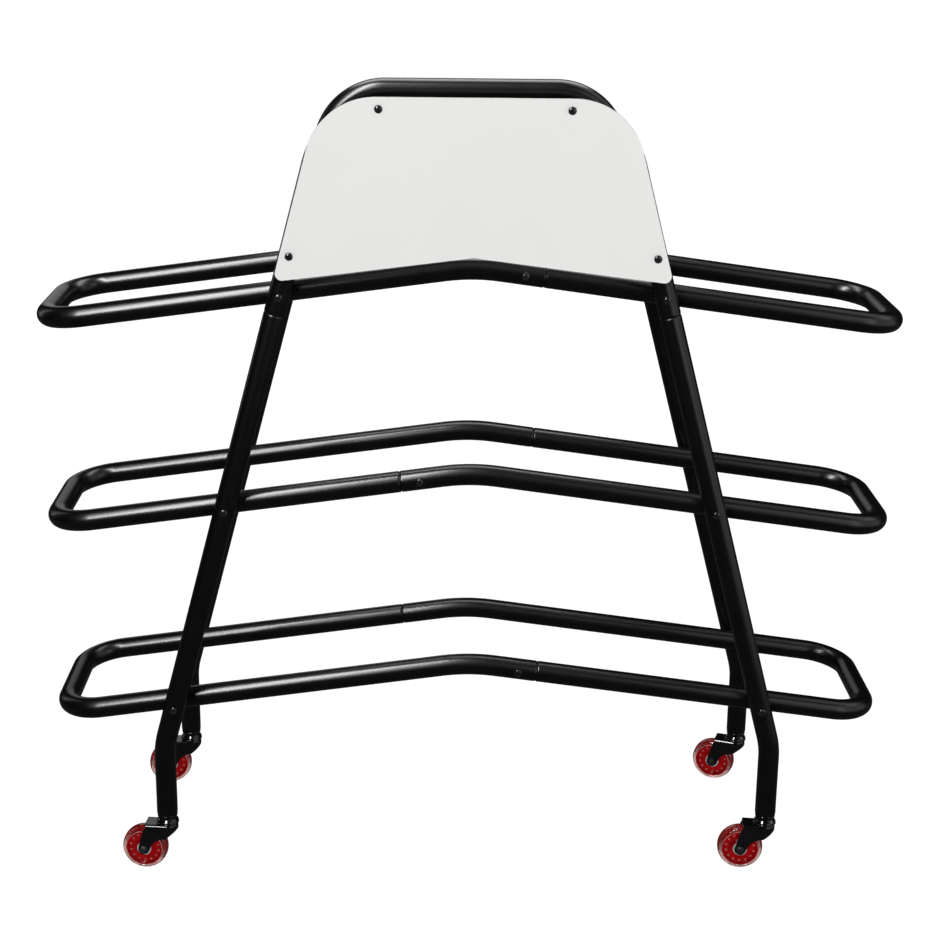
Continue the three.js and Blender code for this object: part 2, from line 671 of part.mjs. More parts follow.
function caster(name, side, end) {
  const swivel = new THREE.Group();
  swivel.rotation.z = THREE.MathUtils.degToRad(CASTER_TURN_DEG[name]);
  Object.entries(CASTER_BODIES).forEach(([label, [body, finish]]) => {
    const part = piece(`caster_${name}_${label}`, body, finish);
    if (label !== 'fork') part.position.set(-TRAIL, 0, AXLE_HEIGHT);
    if (label === 'axle') part.rotation.z = end > 0 ? Math.PI : 0;
    swivel.add(part);
  });
  const group = new THREE.Group();
  group.position.set(side * FOOT_SPREAD, end * LEG_Y, 0);
  group.add(piece(`caster_${name}_stem`, STEM_BODY, 'pressed'), swivel);
  return group;
}

const cart = new THREE.Group();
cart.add(tier('top', TOP_APEX, 1), tier('middle', MIDDLE_APEX, -1), tier('bottom', BOTTOM_APEX, 1));
cart.add(...hoops(), panel(), ...panelScrews());
const legShape = legBody();
[['front', -1], ['rear', 1]].forEach(([endName, end]) => {
  [['left', -1], ['right', 1]].forEach(([sideName, side]) => {
    const name = `${endName}_${sideName}`;
    cart.add(leg(name, legShape, side, end), ...crossingBolts(name, side, end));
    cart.add(caster(name, side, end));
  });
});

// The origin is on the floor, under the middle of the whole cart
const middleOfCart = new THREE.Box3().setFromObject(cart, true).getCenter(new THREE.Vector3());
cart.position.set(0, -middleOfCart.y, 0);

export default cart;
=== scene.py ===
"""The looks of a ball cart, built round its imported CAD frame.

Every CAD node is stood for by one piece that has the real part's roundings, sockets and bends, and
each piece takes its place from the frame's boxes. Lengths are metres. X runs along the cart, Y away
from the panel and Z up from the floor.
"""

from __future__ import annotations

import json
import logging
import math
from collections.abc import Sequence
from dataclasses import dataclass, field
from enum import Enum

import bmesh
import bpy
import numpy as np
from mathutils import Matrix, Vector

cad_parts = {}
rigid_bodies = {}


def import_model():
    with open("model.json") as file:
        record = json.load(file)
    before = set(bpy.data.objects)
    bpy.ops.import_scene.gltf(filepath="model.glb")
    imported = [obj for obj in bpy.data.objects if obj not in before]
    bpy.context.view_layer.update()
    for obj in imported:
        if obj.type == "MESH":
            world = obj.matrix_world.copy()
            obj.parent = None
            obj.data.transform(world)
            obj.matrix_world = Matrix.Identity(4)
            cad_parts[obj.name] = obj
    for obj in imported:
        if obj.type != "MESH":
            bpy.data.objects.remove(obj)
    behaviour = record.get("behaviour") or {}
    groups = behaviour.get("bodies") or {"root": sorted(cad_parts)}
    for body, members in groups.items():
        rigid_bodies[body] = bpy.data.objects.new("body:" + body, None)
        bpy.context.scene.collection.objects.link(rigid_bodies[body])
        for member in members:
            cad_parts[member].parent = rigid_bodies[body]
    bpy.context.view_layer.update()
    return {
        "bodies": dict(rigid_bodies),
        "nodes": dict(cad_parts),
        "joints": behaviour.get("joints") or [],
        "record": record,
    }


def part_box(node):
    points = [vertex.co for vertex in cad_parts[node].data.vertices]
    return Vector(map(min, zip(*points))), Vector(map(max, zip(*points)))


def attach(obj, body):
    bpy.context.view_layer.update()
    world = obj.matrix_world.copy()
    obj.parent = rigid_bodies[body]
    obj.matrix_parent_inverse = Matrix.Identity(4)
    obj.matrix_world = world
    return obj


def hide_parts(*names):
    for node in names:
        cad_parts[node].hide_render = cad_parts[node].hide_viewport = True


Array = np.ndarray
Colour = tuple[float, float, float]
LOG = logging.getLogger("ball_cart")

MM = 0.001
MERGE_DISTANCE = 2e-6
CREASE_DEG = 32.0
SLIGHTEST_TURN = 1e-4
UP = np.array((0.0, 0.0, 1.0))
AWAY = np.array((0.0, 1.0, 0.0))
LEVELS = ("top", "middle", "bottom")
HANDS = {"left": -1, "right": 1}


class Side(Enum):
    """The two long sides of the cart: the one with the panel and the one behind it."""

    FRONT = "front"
    REAR = "rear"


class Reach(Enum):
    """What a light shows on: every surface, only matt ones, or only as a reflection."""

    ALL = "all"
    MATT = "matt"
    GLOSS = "gloss"


# Shapes worked out as arrays


@dataclass(frozen=True)
class Stretch:
    """One stretch of a centreline: a straight run, or a round bend where it has a radius."""

    start: float
    length: float
    origin: Array
    ahead: Array
    inward: Array
    radius: float = 0.0

    def locate(self, distance: Array) -> tuple[Array, Array]:
        """Point and heading at distances from the stretch's own start.

        A run goes on along its heading. On a bend the angle is the distance over the radius.

        Args:
            distance: Distances from the start of this stretch.

        Returns:
            The points and the unit headings, one row for each distance.
        """
        if not self.radius:
            points = self.origin + distance[:, None] * self.ahead
            return points, np.broadcast_to(self.ahead, points.shape)
        angle = (distance / self.radius)[:, None]
        heading = np.cos(angle) * self.ahead + np.sin(angle) * self.inward
        return self.origin + self.radius * along_arc(angle, self.ahead, self.inward), heading


class Centreline:
    """The middle of a bent tube: straight runs between corners, joined by round bends."""

    def __init__(self, corners: Sequence[Sequence[float]], radii: Sequence[float]) -> None:
        """Lays the stretches end to end.

        Args:
            corners: Where the runs would meet, with both ends.
            radii: The bend's radius at each corner between the ends.
        """
        places = np.array(corners, float)
        self.stretches: list[Stretch] = []
        self.length = 0.0
        begin = places[0]
        for before, corner, after, radius in zip(places, places[1:], places[2:], radii):
            ahead, onward, turn = turn_at(before, corner, after)
            setback = radius * math.tan(turn / 2)
            touch = corner - setback * ahead
            self._add(begin, float(np.linalg.norm(touch - begin)), ahead)
            inward = unit(onward - math.cos(turn) * ahead)
            self._add(touch, radius * turn, ahead, inward, radius)
            begin = corner + setback * onward
        self._add(begin, float(np.linalg.norm(places[-1] - begin)), unit(places[-1] - begin))

    def _add(self, origin: Array, length: float, ahead: Array, inward: Array = UP, radius: float = 0) -> None:
        """Puts one more stretch at the end."""
        self.stretches.append(Stretch(self.length, length, origin, ahead, inward, radius))
        self.length += length

    def locate(self, distances: Array) -> tuple[Array, Array]:
        """Points and headings along the line, which runs on straight past both ends.

        Args:
            distances: Distances from the line's start.

        Returns:
            The points and the unit headings.
        """
        starts = np.array([stretch.start for stretch in self.stretches])
        which = np.clip(np.searchsorted(starts, distances, side="right") - 1, 0, None)
        points = np.empty((len(distances), 3))
        headings = np.empty((len(distances), 3))
        for index, stretch in enumerate(self.stretches):
            here = which == index
            points[here], headings[here] = stretch.locate(distances[here] - stretch.start)
        return points, headings

    def stations(self, step_deg: float) -> Array:
        """Distances where a tube needs a ring: both ends of each bend and even steps within it.

        Args:
            step_deg: The largest turn between two rings.

        Returns:
            Distances in rising order, without the line's two ends.
        """
        rings = []
        for stretch in self.stretches:
            if stretch.radius:
                turn_deg = math.degrees(stretch.length / stretch.radius)
                count = math.ceil(turn_deg / step_deg) + 1
                rings.append(stretch.start + np.linspace(0, stretch.length, count))
        return np.concatenate(rings)


def unit(vector: Array) -> Array:
    """The vector at length one."""
    return vector / np.linalg.norm(vector, axis=-1, keepdims=True)


def turn_at(before: Array, corner: Array, after: Array) -> tuple[Array, Array, float]:
    """The headings before and after a corner, and the angle between them."""
    ahead, onward = unit(corner - before), unit(after - corner)
    return ahead, onward, math.acos(np.clip(ahead @ onward, -1, 1))


def along_arc(angle: Array, ahead: Array, inward: Array) -> Array:
    """Ways from the start of an arc of radius one: the sine ahead, and one less the cosine inward."""
    return np.sin(angle) * ahead + (1 - np.cos(angle)) * inward


def ring_angles(sides: int) -> Array:
    """Even angles once round, without the last that meets the first."""
    return np.linspace(0, 2 * math.pi, sides, endpoint=False)


def filleted(corners: Sequence[Sequence[float]], radii: Sequence[float], steps: int = 4) -> Array:
    """A flat outline whose corners are rounded by arcs that start a tangent length before them.

    Args:
        corners: The outline's corners, in order, with both ends.
        radii: Fillet radius at each corner, zero at the ends and wherever the corner stays sharp.
        steps: How many pieces each fillet has.

    Returns:
        The outline's points, one row each.
    """
    places = np.array(corners, float)
    rows = [places[:1]]
    for before, corner, after, radius in zip(places, places[1:], places[2:], radii[1:]):
        ahead, onward, turn = turn_at(before, corner, after)
        if not radius or turn < SLIGHTEST_TURN:
            rows.append(corner[None])
            continue
        inward = unit(onward - math.cos(turn) * ahead)
        angle = np.linspace(0, turn, steps + 1)[:, None]
        start = corner - radius * math.tan(turn / 2) * ahead
        rows.append(start + radius * along_arc(angle, ahead, inward))
    rows.append(places[-1:])
    return np.concatenate(rows)


def mirrored(half: Array) -> Array:
    """A turned outline from the half of it that lies at positive heights, closed into a loop."""
    other = (half * (1, -1))[::-1]
    return np.concatenate([other, half, other[:1]])


def turned(profile: Array, sides: int, radii: Array | None = None) -> Array:
    """A shape turned about the Y axis.

    Each point is the radius times the sine and cosine of the angle, at the profile's height.

    Args:
        profile: Radius and height pairs.
        sides: Points round the shape.
        radii: Radii by row and angle, where the shape isn't round, in place of the profile's.

    Returns:
        Points by row and angle.
    """
    angles = ring_angles(sides)
    radius = np.repeat(profile[:, :1], sides, axis=1) if radii is None else radii
    height = np.repeat(profile[:, 1:], sides, axis=1)
    return np.stack([radius * np.sin(angles), height, radius * np.cos(angles)], axis=-1)


def hexagon(angles: Array, across_flats: float) -> Array:
    """Radius of a hexagon: half its width over the cosine of the angle from the nearest flat."""
    sector = math.pi / 3
    from_flat = np.mod(angles + sector / 2, sector) - sector / 2
    return across_flats / 2 / np.cos(from_flat)


def upright(points: Array) -> Array:
    """Points turned a quarter about X, so that what lay along Y stands along Z."""
    return np.stack([points[..., 0], -points[..., 2], points[..., 1]], axis=-1)


def placed(points: Array, origin: Sequence[float], turn: float = 0.0) -> Array:
    """Points turned about Z and then moved.

    Args:
        points: Points in their own frame, any number of rows.
        origin: Where their own origin goes.
        turn: The angle about Z, in radians.

    Returns:
        The points in the cart's frame.
    """
    cosine, sine = math.cos(turn), math.sin(turn)
    spin = np.array(((cosine, -sine, 0), (sine, cosine, 0), (0, 0, 1)))
    return points @ spin.T + np.array(origin, float)


def carried(line: Centreline, profile: Array, side: Array, sides: int) -> Array:
    """A turned outline carried along a centreline.

    Each ring stands across the heading there. One of its axes is the side direction crossed with
    the heading, and the other is the heading crossed with that.

    Args:
        line: The centreline.
        profile: Radius and distance pairs.
        side: A direction that the line never takes.
        sides: Points round the tube.

    Returns:
        Points by row and angle.
    """
    points, headings = line.locate(profile[:, 1])
    normal = unit(np.cross(side, headings))
    binormal = np.cross(headings, normal)
    angles = ring_angles(sides)[None, :, None]
    ring = np.cos(angles) * normal[:, None] + np.sin(angles) * binormal[:, None]
    return points[:, None] + profile[:, 0][:, None, None] * ring


def grid_faces(rows: int, columns: int, round_trip: bool) -> Array:
    """Four-cornered faces between neighbouring rows and columns of a grid.

    Args:
        rows: Number of rows.
        columns: Number of columns.
        round_trip: Whether the last column joins the first.

    Returns:
        Corner indices, one row for each face.
    """
    spans = columns if round_trip else columns - 1
    row, column = np.meshgrid(np.arange(rows - 1), np.arange(spans), indexing="ij")
    after = (column + 1) % columns
    corners = [row * columns + column, row * columns + after,
               (row + 1) * columns + after, (row + 1) * columns + column]
    return np.stack(corners, axis=-1).reshape(-1, 4)


@dataclass
class Patchwork:
    """Grids of points that together make up one mesh."""

    name: str
    points: list[Array] = field(default_factory=list)
    faces: list[Array] = field(default_factory=list)
    finishes: list[Array] = field(default_factory=list)
    count: int = 0

    def add(self, grid: Array, round_trip: bool = True, finish: int = 0) -> Patchwork:
        """Adds a grid of points.

        Args:
            grid: Points by row and column.
            round_trip: Whether the columns close into rings.
            finish: Index of the material that the grid takes.

        Returns:
            This patchwork, so that calls can follow one another.
        """
        rows, columns = grid.shape[:2]
        faces = grid_faces(rows, columns, round_trip) + self.count
        self.points.append(grid.reshape(-1, 3))
        self.faces.append(faces)
        self.finishes.append(np.full(len(faces), finish, np.int32))
        self.count += rows * columns
        return self

    def build(self, crease_deg: float = CREASE_DEG, closed: bool = True) -> bpy.types.Object:
        """Makes the object, with its poles and seams merged and its faces pointing outwards.

        Args:
            crease_deg: Edges that turn by more than this stay sharp.
            closed: Whether the surface is closed, so that its outside can be told.

        Returns:
            The new object, which sits at the origin.
        """
        mesh = bpy.data.meshes.new(self.name)
        corners = np.concatenate(self.faces)
        mesh.from_pydata(np.concatenate(self.points), [], corners)
        mesh.polygons.foreach_set("material_index", np.concatenate(self.finishes))
        shape = bmesh.new()
        shape.from_mesh(mesh)
        bmesh.ops.remove_doubles(shape, verts=shape.verts, dist=MERGE_DISTANCE)
        if closed:
            bmesh.ops.recalc_face_normals(shape, faces=shape.faces)
        shape.to_mesh(mesh)
        shape.free()
        soften(mesh, crease_deg)
        piece = bpy.data.objects.new(self.name, mesh)
        bpy.context.scene.collection.objects.link(piece)
        return piece


def soften(mesh: bpy.types.Mesh, crease_deg: float) -> None:
    """Shades a mesh smooth, except along edges that turn by more than the crease angle."""
    mesh.polygons.foreach_set("use_smooth", np.ones(len(mesh.polygons), bool))
    mesh.set_sharp_from_angle(angle=math.radians(crease_deg))
    mesh.update()


def settle_modifiers(piece: bpy.types.Object, crease_deg: float = CREASE_DEG) -> None:
    """Makes a piece's modifiers part of its mesh.

    Args:
        piece: The object with live modifiers.
        crease_deg: Edges that turn by more than this stay sharp.
    """
    graph = bpy.context.evaluated_depsgraph_get()
    settled = bpy.data.meshes.new_from_object(piece.evaluated_get(graph))
    piece.modifiers.clear()
    piece.data = settled
    soften(settled, crease_deg)


# Shader maths and finishes


class Value:
    """A shader socket that does arithmetic: each operator adds a Math node."""

    def __init__(self, bench: Bench, socket: bpy.types.NodeSocket) -> None:
        """Wraps a socket of a bench's node tree."""
        self.bench = bench
        self.socket = socket

    def _math(self, operation: str, first: Value | float, second: Value | float) -> Value:
        """Adds a Math node for two terms and wraps its result."""
        node = self.bench.node("ShaderNodeMath", {"operation": operation}, {0: first, 1: second})
        return Value(self.bench, node.outputs[0])

    def __add__(self, other: Value | float) -> Value:
        """This value plus another."""
        return self._math("ADD", self, other)

    def __sub__(self, other: Value | float) -> Value:
        """This value less another."""
        return self._math("SUBTRACT", self, other)

    def __rsub__(self, other: float) -> Value:
        """A number less this value."""
        return self._math("SUBTRACT", other, self)

    def __mul__(self, other: Value | float) -> Value:
        """This value times another."""
        return self._math("MULTIPLY", self, other)

    __radd__ = __add__
    __rmul__ = __mul__

    def between(self, low: float, high: float) -> Value:
        """Zero below the low limit, one above the high one and a smooth step in between."""
        node = self.bench.node("ShaderNodeMapRange", {"interpolation_type": "SMOOTHSTEP"},
                               {"Value": self, "From Min": low, "From Max": high})
        return Value(self.bench, node.outputs[0])


class Bench:
    """Adds nodes to one shader tree."""

    def __init__(self, tree: bpy.types.NodeTree) -> None:
        """Takes over a tree and clears it."""
        self.tree = tree
        tree.nodes.clear()

    def node(self, kind: str, settings: dict | None = None, inputs: dict | None = None) -> bpy.types.Node:
        """Adds a node, sets it up and fills its sockets.

        Args:
            kind: The node's type name.
            settings: Properties of the node, which are set first.
            inputs: Values, sockets or Value objects by socket name or index.

        Returns:
            The new node.
        """
        made = self.tree.nodes.new(kind)
        for name, setting in (settings or {}).items():
            setattr(made, name, setting)
        for name, content in (inputs or {}).items():
            source = content.socket if isinstance(content, Value) else content
            if isinstance(source, bpy.types.NodeSocket):
                self.tree.links.new(source, made.inputs[name])
            else:
                made.inputs[name].default_value = source
        return made

    def place(self) -> bpy.types.NodeSocket:
        """The point being shaded, in the object's own coordinates."""
        return self.node("ShaderNodeTexCoord").outputs["Object"]

    def noise(self, grain: float, detail: float = 2.0) -> Value:
        """Even noise with a given grain.

        Args:
            grain: The size of one blotch, in metres.
            detail: How many finer layers are added.

        Returns:
            A value from zero to one.
        """
        node = self.node("ShaderNodeTexNoise", None,
                         {"Vector": self.place(), "Scale": 1 / grain, "Detail": detail})
        return Value(self, node.outputs[0])

    def blend(self, factor: Value, first: Colour, second: Colour) -> bpy.types.NodeSocket:
        """A colour between two, by a factor from zero to one."""
        node = self.node("ShaderNodeMix", {"data_type": "RGBA"})
        colours = [socket for socket in node.inputs if socket.type == "RGBA"]
        colours[0].default_value = (*first, 1)
        colours[1].default_value = (*second, 1)
        self.tree.links.new(factor.socket, node.inputs["Factor"])
        return next(socket for socket in node.outputs if socket.type == "RGBA")

    def bump(self, height: Value, strength: float, depth: float) -> bpy.types.NodeSocket:
        """A surface normal from a height.

        Args:
            height: The height, from zero to one.
            strength: How strongly it shows.
            depth: The height of one, in metres.

        Returns:
            The normal's socket.
        """
        node = self.node("ShaderNodeBump", None,
                         {"Height": height, "Strength": strength, "Distance": depth})
        return node.outputs["Normal"]

    def finish_with(self, inputs: dict) -> None:
        """Ends the tree in a Principled shader with the given sockets."""
        shader = self.node("ShaderNodeBsdfPrincipled", None, inputs)
        self.node("ShaderNodeOutputMaterial", None, {"Surface": shader.outputs[0]})


def new_bench(name: str) -> tuple[bpy.types.Material, Bench]:
    """A new material and the bench for its nodes."""
    material = bpy.data.materials.new(name)
    material.use_nodes = True
    return material, Bench(material.node_tree)


@dataclass(frozen=True)
class Coating:
    """A paint or plating whose colour and gloss vary a little, over a finely uneven surface.

    A patch is the size of one blotch of colour, and a grain that of one bump, in metres.
    """

    name: str
    colour: Colour
    second_colour: Colour
    roughness: float
    roughness_spread: float
    grain: float
    relief: float
    relief_depth: float
    metallic: float = 0.0
    coat: float = 0.0
    coat_roughness: float = 0.08
    specular: float = 0.5
    patch: float = 0.03
    patch_edges: tuple[float, float] = (0.3, 0.7)
    gloss_spots_per_patch: float = 5

    def material(self) -> bpy.types.Material:
        """Builds the material.

        The colour runs between the two by a coarse noise, the roughness follows a finer one, and
        the relief is the finest.

        Returns:
            The material.
        """
        material, bench = new_bench(self.name)
        blotches = bench.noise(self.patch).between(*self.patch_edges)
        unevenness = bench.noise(self.patch / self.gloss_spots_per_patch) - 0.5
        gloss = self.roughness + self.roughness_spread * unevenness
        surface = bench.bump(bench.noise(self.grain), self.relief, self.relief_depth)
        bench.finish_with({
            "Base Color": bench.blend(blotches, self.colour, self.second_colour),
            "Roughness": gloss, "Metallic": self.metallic, "Normal": surface,
            "Coat Weight": self.coat, "Coat Roughness": self.coat_roughness,
            "Specular IOR Level": self.specular,
        })
        return material


@dataclass(frozen=True)
class ClearPlastic:
    """Cast plastic that light goes through, with a little cloud in it."""

    name: str
    colour: Colour
    cloudy_colour: Colour
    transmission: float
    roughness: float
    roughness_spread: float = 0.06
    gloss_patch: float = 0.006
    patch: float = 0.012
    patch_edges: tuple[float, float] = (0.35, 0.75)
    grain: float = 0.004
    relief: float = 0.15
    relief_depth: float = 0.0001
    refraction: float = 1.49
    specular: float = 0.5

    def material(self) -> bpy.types.Material:
        """Builds the material, whose colour runs to the cloudy one by a noise.

        Returns:
            The material.
        """
        material, bench = new_bench(self.name)
        cloud = bench.noise(self.patch).between(*self.patch_edges)
        surface = bench.bump(bench.noise(self.grain), self.relief, self.relief_depth)
        bench.finish_with({
            "Base Color": bench.blend(cloud, self.colour, self.cloudy_colour),
            "Roughness": self.roughness + self.roughness_spread * bench.noise(self.gloss_patch),
            "Normal": surface, "Transmission Weight": self.transmission, "IOR": self.refraction,
            "Specular IOR Level": self.specular,
        })
        return material


Finish = Coating | ClearPlastic

POWDER_COAT = Coating(
    "semi_gloss_black_powder_coat", (0.0007, 0.0007, 0.0009), (0.0013, 0.0013, 0.0016),
    roughness=0.28, roughness_spread=0.03, grain=0.0011, relief=0.012, relief_depth=0.00012, specular=0.42)
PANEL_COAT = Coating(
    "satin_white_panel_coat", (0.80, 0.80, 0.785), (0.815, 0.815, 0.80), roughness=0.42,
    roughness_spread=0.05, grain=0.0006, relief=0.10, relief_depth=0.00008, patch=0.12, specular=0.4)
FORK_ENAMEL = Coating(
    "gloss_black_fork_enamel", (0.0012, 0.0012, 0.0014), (0.0026, 0.0026, 0.0029),
    roughness=0.14, roughness_spread=0.06, grain=0.006, relief=0.22, relief_depth=0.0003, coat=0.4)
BLACK_OXIDE = Coating(
    "blackened_screw_steel", (0.020, 0.020, 0.021), (0.032, 0.032, 0.034),
    roughness=0.20, roughness_spread=0.08, grain=0.0008, relief=0.08, relief_depth=0.00006, metallic=0.6)
AXLE_STEEL = Coating(
    "dull_blackened_axle_steel", (0.006, 0.006, 0.007), (0.012, 0.012, 0.013),
    roughness=0.55, roughness_spread=0.10, grain=0.0008, relief=0.12, relief_depth=0.00006, specular=0.25)
BEARING_STEEL = Coating(
    "ground_bearing_steel", (0.52, 0.52, 0.53), (0.62, 0.62, 0.63),
    roughness=0.30, roughness_spread=0.10, grain=0.0007, relief=0.10, relief_depth=0.00004, metallic=0.35)
RED_CORE = ClearPlastic("red_wheel_plastic", (0.29, 0.0008, 0.003), (0.37, 0.002, 0.005),
                        transmission=0.18, roughness=0.12, specular=0.10)
CLEAR_TYRE = ClearPlastic("clear_tyre_plastic", (0.50, 0.33, 0.31), (0.36, 0.21, 0.20),
                          transmission=1.0, roughness=0.07)
TYRE_PLUG = ClearPlastic("tyre_plastic_in_core_holes", (0.60, 0.15, 0.10), (0.40, 0.06, 0.04),
                         transmission=0.3, roughness=0.25)


# Where things are in the frame


@dataclass(frozen=True)
class Box:
    """A CAD node's box."""

    low: Array
    high: Array

    @classmethod
    def of(cls, node: str) -> Box:
        """The box of a node at rest."""
        low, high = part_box(node)
        return cls(np.array(low), np.array(high))

    @property
    def centre(self) -> Array:
        """The middle of the box."""
        return (self.low + self.high) / 2

    @property
    def size(self) -> Array:
        """The box's length along each axis."""
        return self.high - self.low


@dataclass
class Register:
    """Puts finished pieces in place of CAD nodes, and keeps count of them."""

    frame: dict
    materials: dict[str, bpy.types.Material] = field(default_factory=dict)
    pieces: list[str] = field(default_factory=list)

    def body_of(self, node: str) -> str:
        """The CAD body that a node belongs to."""
        bodies = self.frame["record"]["behaviour"]["bodies"]
        return next(body for body, nodes in bodies.items() if node in nodes)

    def material(self, finish: Finish) -> bpy.types.Material:
        """The material of a finish, made once."""
        if finish.name not in self.materials:
            self.materials[finish.name] = finish.material()
        return self.materials[finish.name]

    def add(self, piece: bpy.types.Object, node: str, slot: str, *finishes: Finish) -> None:
        """Dresses a piece and lets it stand for a node.

        Args:
            piece: The finished object.
            node: The CAD node that it stands for.
            slot: The record's material slot; not used.
            finishes: The finish of each material index of its mesh.
        """
        for finish in finishes:
            piece.data.materials.append(self.material(finish))
        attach(piece, self.body_of(node))
        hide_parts(node)
        self.pieces.append(piece.name)
        LOG.info("%s: %d faces, rides on %s", piece.name, len(piece.data.polygons), self.body_of(node))

    def make(self, node: str, word: str, slot: str, finish: Finish, *grids: Array) -> None:
        """Builds a closed piece of one finish from grids, and adds it.

        Args:
            node: The CAD node that the piece stands for.
            word: What the piece's name adds to the node's.
            slot: The record's material slot; passed on to add but not used.
            finish: The piece's finish.
            grids: Points by row and angle.
        """
        piece = Patchwork(f"{node}_{word}")
        for grid in grids:
            piece.add(grid)
        self.add(piece.build(), node, slot, finish)


@dataclass
class Skeleton:
    """The lines that the tubes follow, read from where the frame's tubes and bolts are."""

    tube_radius: float = field(init=False)
    plane_y: dict[Side, float] = field(init=False)
    lean: float = field(init=False)
    crossing: Array = field(init=False)

    def __post_init__(self) -> None:
        """Reads the hoops' planes and the legs' lean."""
        hoops = {side: Box.of(f"hoop_{side.value}") for side in Side}
        self.tube_radius = hoops[Side.FRONT].size[1] / 2
        self.plane_y = {side: box.centre[1] for side, box in hoops.items()}
        self.crossing = self.bolt("top")
        lowest = self.bolt("bottom")
        self.lean = math.atan2(lowest[0] - self.crossing[0], self.crossing[1] - lowest[1])

    @staticmethod
    def bolt(level: str) -> Array:
        """X and Z of the bolt where a right-hand leg crosses a tier."""
        return Box.of(f"bolt_{level}_front_right").centre[[0, 2]]

    def leg_x(self, height: float) -> float:
        """How far from the middle a leg's centreline is at a height."""
        return self.crossing[0] + (self.crossing[1] - height) * math.tan(self.lean)


# The steel tubes


@dataclass(frozen=True)
class TubeStock:
    """The bent steel tube: its wall, its ends and how finely it is drawn."""

    radius: float
    wall: float = 1.5 * MM
    fit: float = 0.3 * MM
    rim_rounding: float = 1.4 * MM
    rim_length: float = 3.0 * MM
    swage_length: float = 46 * MM
    swage_nose: float = 1.5 * MM
    socket_spare: float = 4 * MM
    sides: int = 56
    bend_step_deg: float = 2.5
    rim_steps: int = 5

    def rim(self) -> Array:
        """The rolled outer edge, as a quarter of an ellipse in radius and inset."""
        angle = np.linspace(0, math.pi / 2, self.rim_steps + 1)
        radius = self.radius - self.rim_rounding * (1 - np.sin(angle))
        return np.stack([radius, self.rim_length * (1 - np.cos(angle))], axis=1)

    def socket(self, depth: float) -> Array:
        """An open end, from the bore's floor out to the rim.

        Args:
            depth: How far in the bore goes.

        Returns:
            Radius and inset pairs.
        """
        bore = self.radius - self.wall
        return np.concatenate([[(0, depth), (bore, depth), (bore, 0)], self.rim()])

    def swage(self) -> Array:
        """A narrowed end that plugs into a socket, as radius and inset pairs."""
        narrow = self.radius - self.wall - self.fit
        tip = -self.swage_length
        nose = [(0, tip), (narrow - self.swage_nose, tip), (narrow, tip + self.swage_nose), (narrow, 0)]
        return np.concatenate([nose, self.rim()])

    def bent(self, line: Centreline, start: Array, finish: Array, side: Array) -> Array:
        """A tube along a centreline.

        Args:
            line: The centreline.
            start: The first end, as radius and inset pairs.
            finish: The last end, in the same way.
            side: A direction that the line never takes.

        Returns:
            Points by row and angle.
        """
        middle = line.stations(self.bend_step_deg)
        body = np.stack([np.full(len(middle), self.radius), middle], axis=1)
        last = np.stack([finish[:, 0], line.length - finish[:, 1]], axis=1)[::-1]
        return carried(line, np.concatenate([start, body, last]), side, self.sides)


@dataclass
class Tiers:
    """Three sloping loops of tube, each from two halves that plug together on the long rails."""

    skeleton: Skeleton
    stock: TubeStock
    seam: float = 103.5 * MM
    apex_bend: float = 300 * MM
    corner_bend: float = 60 * MM

    def half(self, level: str, end: int) -> Array:
        """One half of a tier.

        Its centreline starts just past the middle of one rail, goes over the apex, round the far
        end and back to the same distance short of the middle. The left half starts on the front
        rail, but on the rear rail at the middle level.

        Args:
            level: The tier's name.
            end: Minus one for the left half and one for the right half.

        Returns:
            Points by row and angle.
        """
        box = Box.of(f"tier_{level}_left_tube")
        radius = self.stock.radius
        end_bar = -box.low[0] - radius
        rail = box.size[1] / 2 - radius
        bolt_x, bolt_z = self.skeleton.bolt(level)
        slope = (bolt_z - box.low[2] - radius) / (end_bar - bolt_x)
        apex = bolt_z + bolt_x * slope
        past_middle = -end * (self.seam - self.stock.fit)
        begin = end * rail if level != "middle" else -end * rail
        end_height, seam_height = apex - end_bar * slope, apex - self.seam * slope
        corners = [
            (past_middle, begin, seam_height), (0, begin, apex), (end * end_bar, begin, end_height),
            (end * end_bar, -begin, end_height), (end * self.seam, -begin, seam_height),
        ]
        line = Centreline(corners, (self.apex_bend, self.corner_bend, self.corner_bend))
        depth = self.stock.swage_length + self.stock.socket_spare
        tube = self.stock.bent(line, self.stock.socket(depth), self.stock.swage(), UP)
        return placed(tube, (0, box.centre[1], 0))

    def build(self, register: Register) -> None:
        """Makes all six halves."""
        for level in LEVELS:
            for name, end in HANDS.items():
                register.make(f"tier_{level}_{name}_tube", "coated", "powder_coated_tube", POWDER_COAT,
                              self.half(level, end))


